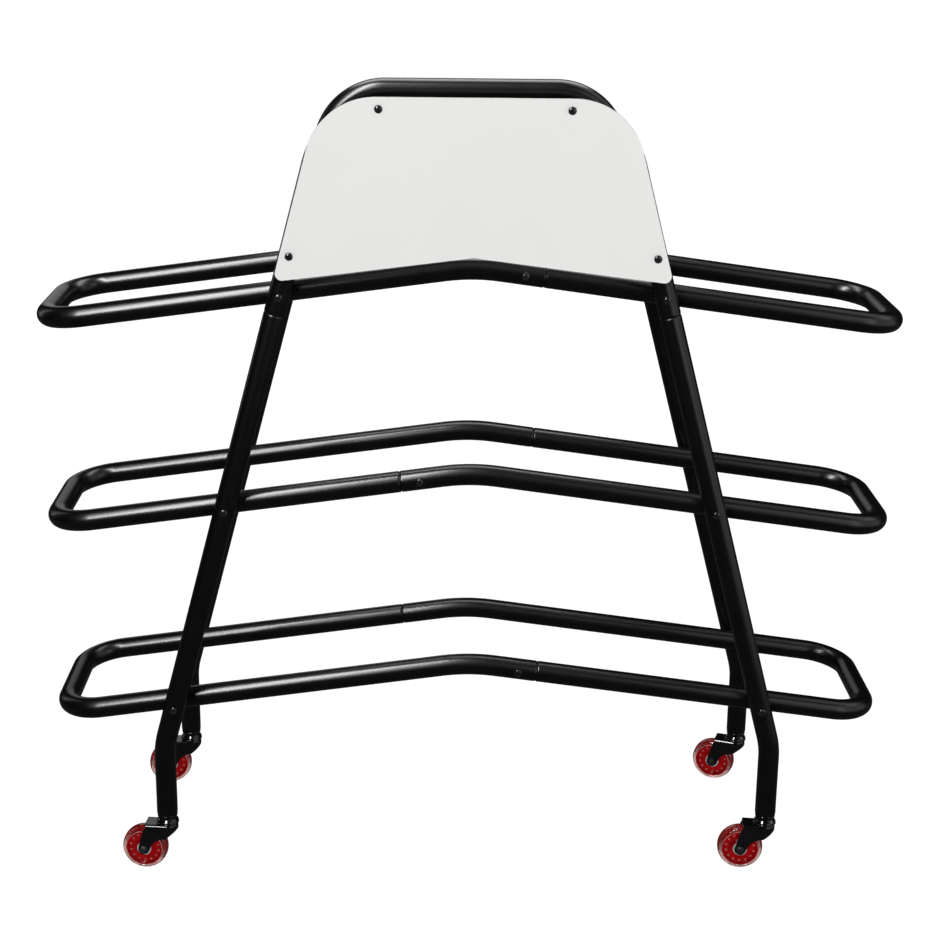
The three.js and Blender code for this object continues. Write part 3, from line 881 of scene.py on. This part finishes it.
@dataclass
class HoopsAndLegs:
    """The two bent hoops and the four legs that plug into them."""

    skeleton: Skeleton
    stock: TubeStock
    hoop_bend: float = 96 * MM
    foot_bend: float = 130 * MM
    crossing_to_seam: float = 27 * MM
    plug_length: float = 30 * MM

    def seam(self) -> tuple[float, float]:
        """X and Z of the joint between hoop and leg, down the leg from the top crossing."""
        lean = self.skeleton.lean
        x, z = self.skeleton.crossing
        return x + self.crossing_to_seam * math.sin(lean), z - self.crossing_to_seam * math.cos(lean)

    def hoop(self, side: Side) -> Array:
        """A hoop: a level bar between two leaning sides.

        Args:
            side: The front or the rear hoop.

        Returns:
            Points by row and angle.
        """
        top = Box.of(f"hoop_{side.value}").high[2] - self.stock.radius
        foot = self.seam()[1] + self.stock.fit
        foot_x, shoulder = self.skeleton.leg_x(foot), self.skeleton.leg_x(top)
        corners = [(-foot_x, 0, foot), (-shoulder, 0, top), (shoulder, 0, top), (foot_x, 0, foot)]
        line = Centreline(corners, (self.hoop_bend, self.hoop_bend))
        end = self.stock.socket(self.stock.swage_length + self.stock.socket_spare)
        tube = self.stock.bent(line, end, end, AWAY)
        return placed(tube, (0, self.skeleton.plane_y[side], 0))

    def leg(self, side: Side, hand: int) -> Array:
        """A leg: a leaning run that bends upright above its caster.

        Args:
            side: The front or the rear.
            hand: Minus one for left, one for right.

        Returns:
            Points by row and angle.
        """
        x, z = self.seam()
        spread = Box.of(f"caster_{side.value}_right_stem").centre[0]
        bottom = Box.of(f"leg_{side.value}_right").low[2]
        bend_height = z - (spread - x) / math.tan(self.skeleton.lean)
        corners = [(x, 0, z), (spread, 0, bend_height), (spread, 0, bottom)]
        line = Centreline(corners, (self.foot_bend,))
        foot = self.stock.socket(self.plug_length + self.stock.socket_spare)
        tube = self.stock.bent(line, self.stock.swage(), foot, AWAY)
        origin = (0, self.skeleton.plane_y[side], 0)
        return placed(tube, origin, 0.0 if hand > 0 else math.pi)

    def build(self, register: Register) -> None:
        """Makes both hoops and all four legs."""
        for side in Side:
            tubes = {f"hoop_{side.value}": self.hoop(side)}
            tubes |= {f"leg_{side.value}_{name}": self.leg(side, hand) for name, hand in HANDS.items()}
            for node, tube in tubes.items():
                register.make(node, "coated", "powder_coated_tube", POWDER_COAT, tube)


# Screws


@dataclass(frozen=True)
class ButtonHead:
    """A button-head screw with a hexagon socket."""

    radius: float = 5.7 * MM
    height: float = 3.2 * MM
    edge: float = 0.8 * MM
    dome: float = 2.55 * MM
    shank_radius: float = 3 * MM
    across_flats: float = 4 * MM
    socket_depth: float = 2.0 * MM
    corner: float = 0.25 * MM
    sides: int = 48
    dome_steps: int = 12

    def grid(self, length: float) -> Array:
        """The whole screw about the Y axis, with its head's underside at zero.

        The dome's height is the edge plus the dome's own height times the root of one less the
        square of the radius share. The socket's radius is a hexagon's.

        Args:
            length: The shank's length.

        Returns:
            Points by row and angle.
        """
        mouth = self.across_flats / math.sqrt(3) + self.corner
        share = np.sin(np.linspace(math.pi / 2, math.asin(mouth / self.radius), self.dome_steps))
        rise = np.minimum(self.edge + self.dome * np.sqrt(1 - share**2), self.height)
        shank = [(0, length), (self.shank_radius - self.corner, length),
                 (self.shank_radius, length - self.corner), (self.shank_radius, 0),
                 (self.radius - self.corner, 0), (self.radius, -self.corner)]
        dome = np.stack([share * self.radius, -rise], axis=1)
        floor = -self.height + self.socket_depth
        key = [(0, -self.height), (0, floor), (0, floor + self.corner)]
        profile = np.concatenate([shank, dome, key])
        radii = np.repeat(profile[:, :1], self.sides, axis=1)
        radii[-3:-1] = hexagon(ring_angles(self.sides), self.across_flats)
        return turned(profile, self.sides, radii)


@dataclass
class Screws:
    """Every button-head screw and bolt of the frame, each put where its node is."""

    head: ButtonHead = field(default_factory=ButtonHead)

    def screw(self, node: str) -> Array:
        """A screw in a node's place, with its head on the node's outer side.

        Args:
            node: The CAD node.

        Returns:
            Points by row and angle.
        """
        box = Box.of(node)
        x, y, z = box.centre
        length = box.size[1] - self.head.height
        faces_front = y < 0
        seat = box.low[1] + self.head.height if faces_front else box.high[1] - self.head.height
        return placed(self.head.grid(length), (x, seat, z), 0.0 if faces_front else math.pi)

    def build(self, register: Register) -> None:
        """Makes the joint screws, the crossing bolts and the panel screws."""
        ends = [side.value for side in Side]
        joints = [f"tier_{level}_joint_screw_{end}" for level in LEVELS for end in ends]
        bolts = [f"bolt_{level}_{end}_{hand}" for level in LEVELS for end in ends for hand in HANDS]
        holding = [f"panel_screw_{edge}_{hand}" for edge in ("top", "bottom") for hand in HANDS]
        for node in (*joints, *bolts, *holding):
            register.make(node, "blackened", "blackened_fasteners", BLACK_OXIDE, self.screw(node))


# The panel


@dataclass
class Panel:
    """The flat front panel, with a raised foot and rounded top corners."""

    skeleton: Skeleton
    top_radius: float = 100 * MM
    foot_radius: float = 10 * MM
    foot_slope_deg: float = 7.25
    edge_rounding: float = 0.7 * MM
    border: float = 2.1 * MM
    inner_rows: tuple[float, ...] = (0.0, 0.5)
    edge_steps: int = 4
    arc_steps: int = 24

    def outline(self) -> Array:
        """The panel's edge, once round.

        The foot's rounded corner touches the box's side and bottom, which gives its centre. The
        leaning side and the foot's slope both touch that corner's circle.

        Returns:
            X and Z pairs.
        """
        box = Box.of("front_panel")
        top, low, wide = box.high[2], box.low[2], box.high[0]
        centre = np.array((wide - self.foot_radius, low + self.foot_radius))
        lean, slope = self.skeleton.lean, math.radians(self.foot_slope_deg)
        side_normal = np.array((math.cos(lean), math.sin(lean)))
        foot_normal = np.array((-math.sin(slope), -math.cos(slope)))
        reach = np.array((side_normal @ centre, foot_normal @ centre)) + self.foot_radius
        foot = np.linalg.solve(np.array((side_normal, foot_normal)), reach)
        shoulder = np.array(((reach[0] - side_normal[1] * top) / side_normal[0], top))
        middle = np.array((0.0, reach[1] / foot_normal[1]))
        right = filleted([middle, foot, shoulder, (0, top)],
                         (0, self.foot_radius, self.top_radius, 0), self.arc_steps)
        left = (right * (-1, 1))[::-1]
        return np.concatenate([right, left[1:-1]])

    def grid(self) -> Array:
        """The panel's surface: the outline drawn in towards its middle on both faces.

        The inner rows keep a share of each point's way from the middle to the border. The others
        keep an inset from the edge, where inset and depth follow a quarter of a circle.

        Returns:
            Points by row and place on the outline.
        """
        box = Box.of("front_panel")
        edge = self.outline()
        middle = np.array((0.0, box.centre[2]))
        tangent = unit(np.roll(edge, -1, axis=0) - np.roll(edge, 1, axis=0))
        outward = np.stack([tangent[:, 1], -tangent[:, 0]], axis=1)
        angle = np.linspace(0, math.pi / 2, self.edge_steps + 1)
        inset = np.concatenate([[self.border], self.edge_rounding * (1 - np.sin(angle))])
        flat = np.zeros(len(self.inner_rows) + 1)
        depth = np.concatenate([flat, self.edge_rounding * (1 - np.cos(angle))])
        inner = [middle + share * (edge - self.border * outward - middle) for share in self.inner_rows]
        face = np.concatenate([np.stack(inner), edge - inset[:, None, None] * outward])
        both = np.concatenate([face, face[::-1]])
        y = np.concatenate([box.low[1] + depth, (box.high[1] - depth)[::-1]])
        return np.stack([both[..., 0], np.repeat(y[:, None], len(edge), axis=1), both[..., 1]], axis=-1)

    def build(self, register: Register) -> None:
        """Makes the panel."""
        register.make("front_panel", "coated", "white_panel", PANEL_COAT, self.grid())


# The casters


@dataclass(frozen=True)
class ForkShape:
    """The pressed steel fork: a deck, a skirt round its nose and two arms down to the axle.

    Its own frame has the king pin on the Z axis, the nose towards +X and the floor at zero.
    """

    deck_top: float
    axle_height: float
    trail: float
    half_width: float = 16 * MM
    wall: float = 2.5 * MM
    bend: float = 3.0 * MM
    rear: float = 34 * MM
    corner_trim: float = 2.5 * MM
    blend_depth: float = 7.5 * MM
    skirt: float = 8.75 * MM
    tip_radius: float = 8.5 * MM
    notch_radius: float = 26 * MM
    notch_setback: float = 1.5 * MM
    notch_drop: float = 7 * MM
    tip_steps: int = 14
    notch_steps: int = 15
    nose_steps: int = 28
    deck_steps: int = 7
    bend_steps: int = 5
    arm_steps: int = 14
    edge_rounding: float = 0.35 * MM
    edge_segments: int = 2
    edge_angle_deg: float = 60

    def lower_edge(self) -> tuple[Array, float]:
        """The side view's lower edge, up to where the nose begins.

        It goes round the tip from where the rear edge touches it, then along a line that touches
        both the tip and the notch, round the notch to its highest point, and straight on.

        Returns:
            X and Z of the points from back to front, and the slant of the edge from there on.
        """
        axle = np.array((-self.trail, self.axle_height))
        notch = np.array((-self.notch_setback, self.axle_height - self.notch_drop))
        rear, across = np.array((-self.rear, self.deck_top)) - axle, notch - axle
        between = math.acos((self.tip_radius + self.notch_radius) / math.hypot(*across))
        behind = math.atan2(rear[1], rear[0]) + math.acos(self.tip_radius / math.hypot(*rear))
        ahead = math.atan2(across[1], across[0]) - between
        tip = np.linspace(behind, ahead + 2 * math.pi, self.tip_steps + 1)
        hollow = np.linspace(ahead + math.pi, math.pi / 2, self.notch_steps + 1)
        round_tip = axle + self.tip_radius * np.stack([np.cos(tip), np.sin(tip)], axis=1)
        round_notch = notch + self.notch_radius * np.stack([np.cos(hollow), np.sin(hollow)], axis=1)
        crown = round_notch[-1]
        slant = (self.deck_top - self.skirt - crown[1]) / (self.half_width - crown[0])
        front = np.array([(0.0, crown[1] - slant * crown[0])])
        return np.concatenate([round_tip, round_notch, front]), slant

    def upper_rows(self) -> Array:
        """Rows from the deck's spine, over the bend and down to where the arms begin.

        Each row is an even offset of the spine: a rear end, two straight sides and a round nose.

        Returns:
            Row by row, the half width, the height and how far back the rear end is.
        """
        flat = np.linspace(0, self.half_width - self.bend, self.deck_steps)
        angle = np.linspace(0, math.pi / 2, self.bend_steps + 1)[1:]
        width = np.concatenate([flat, self.half_width - self.bend * (1 - np.sin(angle))])
        height = np.concatenate([np.full(len(flat), self.deck_top),
                                 self.deck_top - self.bend * (1 - np.cos(angle))])
        trimmed = np.maximum(0, width - (self.half_width - self.corner_trim))
        rear = self.rear - trimmed**2 / self.corner_trim
        return np.stack([width, height, rear], axis=1)

    def grid(self) -> Array:
        """The outer surface of the pressing.

        Columns run from the rear of one arm round the nose to the rear of the other. Below the
        bend each column goes straight from the bend's foot to the lower edge, while the rear end
        eases from the deck's trimmed corner onto the arm's rear edge.

        Returns:
            Points by row and column.
        """
        lowest, slant = self.lower_edge()
        low_x, low_z = lowest.T
        along = np.linspace(0, 1, len(lowest))
        nose = np.linspace(-math.pi / 2, math.pi / 2, self.nose_steps + 1)[1:-1]
        rows = [self._row(width, -rear * (1 - along), np.full(len(along), height), nose, height)
                for width, height, rear in self.upper_rows()]
        foot = self.deck_top - self.bend
        trim_rear = self.upper_rows()[-1, 2]
        top_x, nose_low = -trim_rear * (1 - along), low_z[-1] + slant * self.half_width * np.cos(nose)
        for share in np.linspace(0, 1, self.arm_steps + 1)[1:]:
            ease = min(1.0, share * (foot - low_z[0]) / self.blend_depth)
            bulge = (1 - along) * (self.rear - trim_rear) * math.sin(ease * math.pi / 2) * (1 - share)
            x = top_x + share * (low_x - top_x) - bulge
            z = foot + share * (low_z - foot)
            rows.append(self._row(self.half_width, x, z, nose, foot + share * (nose_low - foot)))
        return np.stack(rows)

    @staticmethod
    def _row(width: float, x: Array, z: Array, nose: Array, nose_z: Array | float) -> Array:
        """One row: down the left arm's side, round the nose and back along the right arm's side."""
        left = np.stack([x, np.full(len(x), -width), z], axis=1)
        heights = np.broadcast_to(nose_z, nose.shape)
        arc = np.stack([width * np.cos(nose), width * np.sin(nose), heights], axis=1)
        right = (left * (1, -1, 1))[::-1]
        return np.concatenate([left, arc, right])


@dataclass(frozen=True)
class WheelShape:
    """The wheel's turned shapes, about an axle along Y."""

    radius: float
    half_width: float = 12 * MM
    tyre_thickness: float = 7.0 * MM
    flank_drop: float = 3.9 * MM
    flank_lean: float = 1.2 * MM
    shoulder_width: float = 0.4 * MM
    shoulder_drop: float = 0.5 * MM
    lip: float = 0.3 * MM
    crown_power: float = 2.6
    crown_steps: int = 11
    squeeze: float = 0.05 * MM
    core_half_width: float = 10.5 * MM
    rim: float = 2.6 * MM
    web_half_width: float = 7.5 * MM
    boss: float = 3 * MM
    boss_setback: float = 0.4 * MM
    bore: float = 11.15 * MM
    core_fillets_mm: tuple[float, ...] = (0, 0.6, 0.6, 1.6, 1.6, 0.7, 0.4, 0)
    plug_circle: float = 21.9 * MM
    plug_radius: float = 1.8 * MM
    plug_rise: float = 0.35 * MM
    plug_count: int = 14
    plug_steps: int = 4
    plug_sides: int = 16
    sides: int = 96

    def tyre(self) -> Array:
        """The tyre: the tread's drop grows with a power of the offset from its middle.

        Its flanks lean in towards the tread. It grips the core by a hair, so that no air lies
        between them and the core shows through.

        Returns:
            Points by row and angle.
        """
        edge = self.half_width - self.flank_lean
        offset = np.linspace(0, edge - self.shoulder_width, self.crown_steps + 1)
        crown = self.radius - self.flank_drop * (offset / self.half_width) ** self.crown_power
        inner = self.radius - self.tyre_thickness
        flank = [(crown[-1] - self.shoulder_drop, edge), (inner + self.lip, self.half_width),
                 (inner, self.half_width - self.lip)]
        return turned(mirrored(np.concatenate([np.stack([crown, offset], axis=1)[1:], flank])), self.sides)

    def core(self) -> Array:
        """The core: a rim, a thinner web and a boss round the bearings, with moulded fillets."""
        outer = self.radius - self.tyre_thickness + self.squeeze
        shelf, boss, face = outer - self.rim, self.bore + self.boss, self.half_width - self.boss_setback
        corners = [(outer, 0), (outer, self.core_half_width), (shelf, self.core_half_width),
                   (shelf, self.web_half_width), (boss, self.web_half_width), (boss, face),
                   (self.bore, face), (self.bore, 0)]
        half = filleted(corners, np.array(self.core_fillets_mm) * MM)
        return turned(mirrored(half[1:-1]), self.sides)

    def plugs(self) -> Array:
        """Tyre plastic showing in the core's holes, as low domes on both faces of the web.

        Returns:
            Points by plug, row and angle.
        """
        angle = np.linspace(0, math.pi / 2, self.plug_steps + 1)
        dome = np.stack([self.plug_radius * np.cos(angle), self.plug_rise * np.sin(angle)], axis=1)
        foot = [(0, -self.plug_rise), (self.plug_radius, -self.plug_rise)]
        cap = turned(np.concatenate([foot, dome]), self.plug_sides) + AWAY * self.web_half_width
        both = np.stack([cap, cap * (1, -1, -1)])
        where = ring_angles(self.plug_count)
        centre = self.plug_circle * np.stack([np.sin(where), 0 * where, np.cos(where)], axis=1)
        spread = both[:, None] + centre[None, :, None, None]
        return spread.reshape(-1, *cap.shape)


@dataclass(frozen=True)
class Hardware:
    """The turned steel parts: bearings, axle bolt with its nut, and stem.

    The rivet's and the race's profiles give radius, height and fillet, in millimetres, up from the
    rivet's foot and from the race's seat on the fork.
    """

    fork_half_width: float = 16 * MM
    fork_wall: float = 2.5 * MM
    bearing_radius: float = 11 * MM
    bearing_width: float = 7 * MM
    bearing_outer: float = 12 * MM
    outer_race_wall: float = 1.8 * MM
    inner_race_wall: float = 1.2 * MM
    shield_recess: float = 0.6 * MM
    shield_slant: float = 0.2 * MM
    sleeve_radius: float = 6 * MM
    sleeve_gap: float = 0.1 * MM
    bearing_fillets_mm: tuple[float, ...] = (0, 0, 0.3, 0.5, 0.1, 0.05, 0.05, 0.1, 0.2, 0.3, 0, 0)
    bearing_steps: int = 3
    axle_radius: float = 4 * MM
    axle_clearance: float = 0.2 * MM
    axle_tail: float = 1.8 * MM
    head_radius: float = 6.5 * MM
    head_height: float = 4 * MM
    head_flat: float = 3.2 * MM
    head_edge: float = 1.4 * MM
    bolt_fillets_mm: tuple[float, ...] = (0, 3.0, 0.7, 0.2, 0, 0.6, 0)
    bolt_steps: int = 6
    nut_across_flats: float = 11.4 * MM
    nut_height: float = 5.5 * MM
    nut_bevel: float = 0.5 * MM
    nut_crown_share: float = 1.03
    collar_wall: float = 1.1 * MM
    collar_height: float = 1.2 * MM
    thread_depth: float = 0.1 * MM
    rivet_profile: tuple[tuple[float, float, float], ...] = ((0, 0, 0), (5.2, 0, 0.8), (6.5, 1.2, 0.8))
    rivet_fillet: float = 0.2 * MM
    race_gap: float = 0.15 * MM
    race_profile: tuple[tuple[float, float, float], ...] = (
        (16.4, 0, 0.6), (17.3, 1.2, 0.6), (17.3, 2.6, 0.5), (16.4, 3.1, 0.15), (16.9, 3.6, 0.4),
        (16.6, 5.6, 2.4), (13.4, 8.6, 0.8), (13.4, 9.6, 0.8), (15.2, 12.6, 1.6), (15.4, 15.4, 0.4),
    )
    plug_seat: float = 15.6 * MM
    plug_fillet: float = 0.8 * MM
    stem_steps: int = 5
    sides: int = 48

    def bearing(self) -> Array:
        """Both bearings with their races and recessed shields, and the sleeve between them."""
        inner, outer = self.bearing_outer - self.bearing_width, self.bearing_outer
        sleeve = self.fork_half_width - self.fork_wall - self.sleeve_gap
        shield = outer - self.shield_recess
        race, hub = self.bearing_radius - self.outer_race_wall, self.sleeve_radius + self.inner_race_wall
        bore = self.axle_radius + self.axle_clearance
        corners = [
            (self.sleeve_radius, 0), (self.sleeve_radius, inner), (self.bearing_radius, inner),
            (self.bearing_radius, outer), (race, outer), (race - self.shield_slant, shield),
            (hub + self.shield_slant, shield), (hub, outer), (self.sleeve_radius, outer),
            (self.sleeve_radius, sleeve), (bore, sleeve), (bore, 0),
        ]
        half = filleted(corners, np.array(self.bearing_fillets_mm) * MM, self.bearing_steps)
        return turned(mirrored(half[1:-1]), self.sides)

    def axle(self) -> list[Array]:
        """The axle bolt with its domed head, and the hexagon locknut with its collar."""
        seat = self.fork_half_width
        top, tail = seat + self.head_height, seat + self.nut_height + self.axle_tail
        corners = [(0, -top), (self.head_flat, -top), (self.head_radius, -seat - self.head_edge),
                   (self.head_radius, -seat), (self.axle_radius, -seat), (self.axle_radius, tail), (0, tail)]
        bolt = filleted(corners, np.array(self.bolt_fillets_mm) * MM, self.bolt_steps)
        flats = hexagon(ring_angles(self.sides), self.nut_across_flats)
        crown = np.minimum(flats, self.nut_across_flats / 2 * self.nut_crown_share)
        bore = np.full(self.sides, self.axle_radius - self.thread_depth)
        collar = np.full(self.sides, self.axle_radius + self.collar_wall)
        nut_top = seat + self.nut_height
        heights = np.array((seat, seat, seat + self.nut_bevel, nut_top - self.nut_bevel, nut_top,
                            nut_top + self.collar_height, nut_top + self.collar_height))
        radii = np.stack([bore, crown, flats, flats, crown, collar, bore])
        nut = np.stack([0 * heights, heights], axis=1)
        return [turned(bolt, self.sides), turned(nut, self.sides, radii)]

    def stem(self, box: Box, plug: float, deck_top: float) -> Array:
        """The rivet head, king pin, ball race, necked flange and the plug in the leg.

        Args:
            box: The stem's box.
            plug: Radius of the plug in the leg.
            deck_top: Height of the fork's deck.

        Returns:
            Points by row and angle, standing along Z.
        """
        pin, top = self.axle_radius, box.high[2]
        under, seat = deck_top - self.fork_wall, deck_top + self.race_gap
        rivet = np.array(self.rivet_profile) * MM + (0, box.low[2], 0)
        race = np.array(self.race_profile) * MM + (0, seat, 0)
        outline = np.concatenate([
            rivet, [(rivet[-1, 0], under, self.rivet_fillet), (pin, under, 0), (pin, seat, 0)], race,
            [(plug, seat + self.plug_seat, 0), (plug, top, self.plug_fillet), (0, top, 0)],
        ])
        return upright(turned(filleted(outline[:, :2], outline[:, 2], self.stem_steps), self.sides))


@dataclass
class Caster:
    """One swivel caster, built where its nodes are."""

    corner: str
    stock: TubeStock
    hardware: Hardware = field(default_factory=Hardware)

    def __post_init__(self) -> None:
        """Reads the caster's place, its turn and its wheel's radius from the frame."""
        self.stem_box = self.box("stem")
        self.axle_place = self.box("wheel_tyre").centre
        self.tread_radius = self.box("wheel_tyre").size[2] / 2
        offset = self.stem_box.centre - self.axle_place
        self.turn = math.atan2(offset[1], offset[0])
        self.trail = math.hypot(offset[0], offset[1])
        self.deck_top = self.box("fork").high[2]

    def box(self, part: str) -> Box:
        """The box of one of this caster's nodes."""
        return Box.of(f"caster_{self.corner}_{part}")

    def fork(self) -> bpy.types.Object:
        """The pressed fork, as a sheet that Solidify and Bevel give its wall and broken edges."""
        shape = ForkShape(self.deck_top, self.axle_place[2], self.trail)
        origin = (*self.stem_box.centre[:2], 0)
        sheet = Patchwork(f"caster_{self.corner}_fork_enamelled")
        piece = sheet.add(placed(shape.grid(), origin, self.turn), round_trip=False).build(closed=False)
        outwards = max(piece.data.polygons, key=lambda polygon: polygon.center.z).normal.z
        wall = piece.modifiers.new("wall", "SOLIDIFY")
        wall.thickness, wall.offset, wall.use_even_offset = shape.wall, -math.copysign(1, outwards), True
        edge = piece.modifiers.new("edge", "BEVEL")
        edge.width, edge.segments, edge.limit_method = shape.edge_rounding, shape.edge_segments, "ANGLE"
        edge.angle_limit = math.radians(shape.edge_angle_deg)
        settle_modifiers(piece)
        return piece

    def hung(self, points: Array, facing: float = 0.0) -> Array:
        """Points about the Y axis, turned with the caster and put on its axle.

        Args:
            points: Points by row and angle.
            facing: A further turn about Z, in radians.

        Returns:
            The points in the cart's frame.
        """
        return placed(points, self.axle_place, self.turn + facing)

    def build(self, register: Register) -> None:
        """Makes the caster's six pieces."""
        name = f"caster_{self.corner}"
        wheel, hardware = WheelShape(self.tread_radius), self.hardware
        register.add(self.fork(), f"{name}_fork", "caster_steel", FORK_ENAMEL)
        plug_radius = self.stock.radius - self.stock.wall - self.stock.fit
        stem = hardware.stem(self.stem_box, plug_radius, self.deck_top)
        register.make(f"{name}_stem", "enamelled", "caster_steel", FORK_ENAMEL,
                      placed(stem, (*self.stem_box.centre[:2], 0)))
        register.make(f"{name}_wheel_core", "moulded", "red_wheel_core", RED_CORE, self.hung(wheel.core()))
        tyre = Patchwork(f"{name}_wheel_tyre_cast").add(self.hung(wheel.tyre()))
        for plug in wheel.plugs():
            tyre.add(self.hung(plug), finish=1)
        register.add(tyre.build(), f"{name}_wheel_tyre", "clear_tyre", CLEAR_TYRE, TYRE_PLUG)
        register.make(f"{name}_wheel_bearings", "ground", "bearing_steel", BEARING_STEEL,
                      self.hung(hardware.bearing()))
        facing = 0.0 if self.axle_place[1] < 0 else math.pi
        register.make(f"{name}_axle", "blackened", "blackened_axle", AXLE_STEEL,
                      *(self.hung(grid, facing) for grid in hardware.axle()))


# The studio


@dataclass(frozen=True)
class Viewpoint:
    """The photograph's camera."""

    place: tuple[float, float, float] = (-0.0560, -2.8051, 1.4719)
    yaw_deg: float = 1.223
    pitch_deg: float = 17.347
    roll_deg: float = -0.656
    focal_length_px: float = 1905.6
    image_px: float = 943
    sensor_mm: float = 36

    def camera(self) -> bpy.types.Object:
        """Makes the camera from its place and its three angles.

        Returns:
            The camera.
        """
        yaw, pitch, roll = (math.radians(angle) for angle in (self.yaw_deg, self.pitch_deg, self.roll_deg))
        forward = Vector((math.sin(yaw) * math.cos(pitch), math.cos(yaw) * math.cos(pitch), -math.sin(pitch)))
        right = Vector((math.cos(yaw), -math.sin(yaw), 0))
        down = forward.cross(right)
        across = right * math.cos(roll) + down * math.sin(roll)
        under = -right * math.sin(roll) + down * math.cos(roll)
        lens = bpy.data.cameras.new("viewpoint")
        lens.sensor_width = self.sensor_mm
        lens.lens = self.sensor_mm * self.focal_length_px / self.image_px
        camera = bpy.data.objects.new("viewpoint", lens)
        turn = Matrix((across, -under, -forward)).transposed()
        camera.matrix_world = Matrix.Translation(self.place) @ turn.to_4x4()
        bpy.context.scene.collection.objects.link(camera)
        return camera


@dataclass(frozen=True)
class Softbox:
    """A flat soft light."""

    name: str
    place: tuple[float, float, float]
    aim: tuple[float, float, float]
    size: tuple[float, float]
    radiance: float
    reach: Reach = Reach.ALL

    def light(self) -> bpy.types.Object:
        """Makes the light and points it at its aim.

        Its power is its radiance times its area times pi.

        Returns:
            The light.
        """
        lamp = bpy.data.lights.new(self.name, "AREA")
        lamp.shape = "RECTANGLE"
        lamp.size, lamp.size_y = self.size
        lamp.energy = self.radiance * math.pi * self.size[0] * self.size[1]
        light = bpy.data.objects.new(self.name, lamp)
        light.visible_camera = False
        light.visible_diffuse = self.reach is not Reach.GLOSS
        light.visible_glossy = self.reach is not Reach.MATT
        turn = (Vector(self.aim) - Vector(self.place)).to_track_quat("-Z", "Y").to_matrix().to_4x4()
        light.matrix_world = Matrix.Translation(self.place) @ turn
        bpy.context.scene.collection.objects.link(light)
        return light


@dataclass
class Studio:
    """A pale glowing floor, a dim room and soft lights."""

    floor_size: float = 60.0
    floor_colour: Colour = (0.20, 0.20, 0.20)
    floor_mottle: float = 1.02
    mottle_size: float = 0.5
    mottle_edges: tuple[float, float] = (0.2, 0.8)
    floor_roughness: float = 0.9
    floor_glow: float = 1.0
    room_brightness: float = 0.014
    lights: tuple[Softbox, ...] = (
        Softbox("key_strip", (-1.02, -1.76, 2.66), (-0.45, -0.10, 0.75), (0.55, 2.5), 40, Reach.GLOSS),
        Softbox("hoop_strip", (0.0, 0.35, 1.63), (0.0, 0.144, 1.165), (0.9, 0.34), 6.5, Reach.GLOSS),
        Softbox("rear_wall", (-1.2, 5.0, 2.0), (0.0, 0.0, 1.0), (2.4, 2.4), 0.6, Reach.GLOSS),
        Softbox("right_wall", (2.9, -1.2, 1.3), (0.2, -0.2, 0.8), (4.0, 3.0), 0.7),
        Softbox("right_front", (2.3, -3.1, 2.0), (0.4, -0.1, 0.9), (2.2, 3.6), 1.15, Reach.GLOSS),
        Softbox("right_ceiling", (2.25, 0.1, 3.0), (1.2, 0.0, 0.8), (1.8, 3.2), 1.15, Reach.GLOSS),
        Softbox("left_strip", (-2.8, 1.4, 1.5), (-0.5, 0.1, 0.8), (0.5, 2.0), 1.2, Reach.GLOSS),
        Softbox("front_fill", (-0.6, -5.0, 2.6), (0.0, 0.0, 0.9), (3.0, 2.0), 6.2, Reach.MATT),
        Softbox("rear_fill", (0.6, 5.0, 2.6), (0.0, 0.0, 0.9), (3.0, 2.0), 4.5, Reach.MATT),
        Softbox("floor_sheen", (0.0, -1.0, 0.002), (0.0, -1.0, 1.0), (7.0, 6.0), 0.04, Reach.GLOSS),
    )

    def floor(self) -> None:
        """Lays the floor, which isn't mirrored in the cart."""
        reach = self.floor_size / 2
        edge = np.array((-reach, reach))
        x, y = np.meshgrid(edge, edge)
        grid = np.stack([x, y, 0 * x], axis=-1)
        floor = Patchwork("studio_floor").add(grid, round_trip=False).build(closed=False)
        material, bench = new_bench("pale_floor")
        mottle = bench.noise(self.mottle_size).between(*self.mottle_edges)
        lighter = tuple(channel * self.floor_mottle for channel in self.floor_colour)
        bench.finish_with({"Base Color": bench.blend(mottle, self.floor_colour, lighter),
                           "Roughness": self.floor_roughness, "Specular IOR Level": 0.0,
                           "Emission Color": (1, 1, 1, 1), "Emission Strength": self.floor_glow})
        floor.data.materials.append(material)
        floor.visible_glossy = False

    def room(self) -> None:
        """Lights the room dimly, but shows it white to the eye and through clear plastic."""
        world = bpy.data.worlds.new("studio_room")
        world.use_nodes = True
        bench = Bench(world.node_tree)
        paths = bench.node("ShaderNodeLightPath")
        straight = Value(bench, paths.outputs["Is Camera Ray"])
        through = Value(bench, paths.outputs["Is Transmission Ray"])
        seen = straight + through - straight * through
        brightness = self.room_brightness + seen * (1 - self.room_brightness)
        backdrop = bench.node("ShaderNodeBackground", None, {"Color": (1, 1, 1, 1), "Strength": brightness})
        bench.node("ShaderNodeOutputWorld", None, {"Surface": backdrop.outputs[0]})
        bpy.context.scene.world = world

    def build(self) -> None:
        """Makes the floor, the room, the lights and the camera."""
        self.floor()
        self.room()
        for softbox in self.lights:
            softbox.light()
        bpy.context.scene.camera = Viewpoint().camera()
        bpy.context.scene.view_settings.view_transform = "Standard"


def main() -> None:
    """Loads the frame, dresses the whole cart and sets up the studio."""
    logging.basicConfig(level=logging.INFO, format="%(name)s: %(message)s", force=True)
    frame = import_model()
    register = Register(frame)
    skeleton = Skeleton()
    stock = TubeStock(skeleton.tube_radius)
    Studio().build()
    Tiers(skeleton, stock).build(register)
    HoopsAndLegs(skeleton, stock).build(register)
    Panel(skeleton).build(register)
    Screws().build(register)
    for side in Side:
        for hand in HANDS:
            Caster(f"{side.value}_{hand}", stock).build(register)
    LOG.info("%d pieces in place", len(register.pieces))
    bpy.context.view_layer.update()


if __name__ == "__main__":
    main()
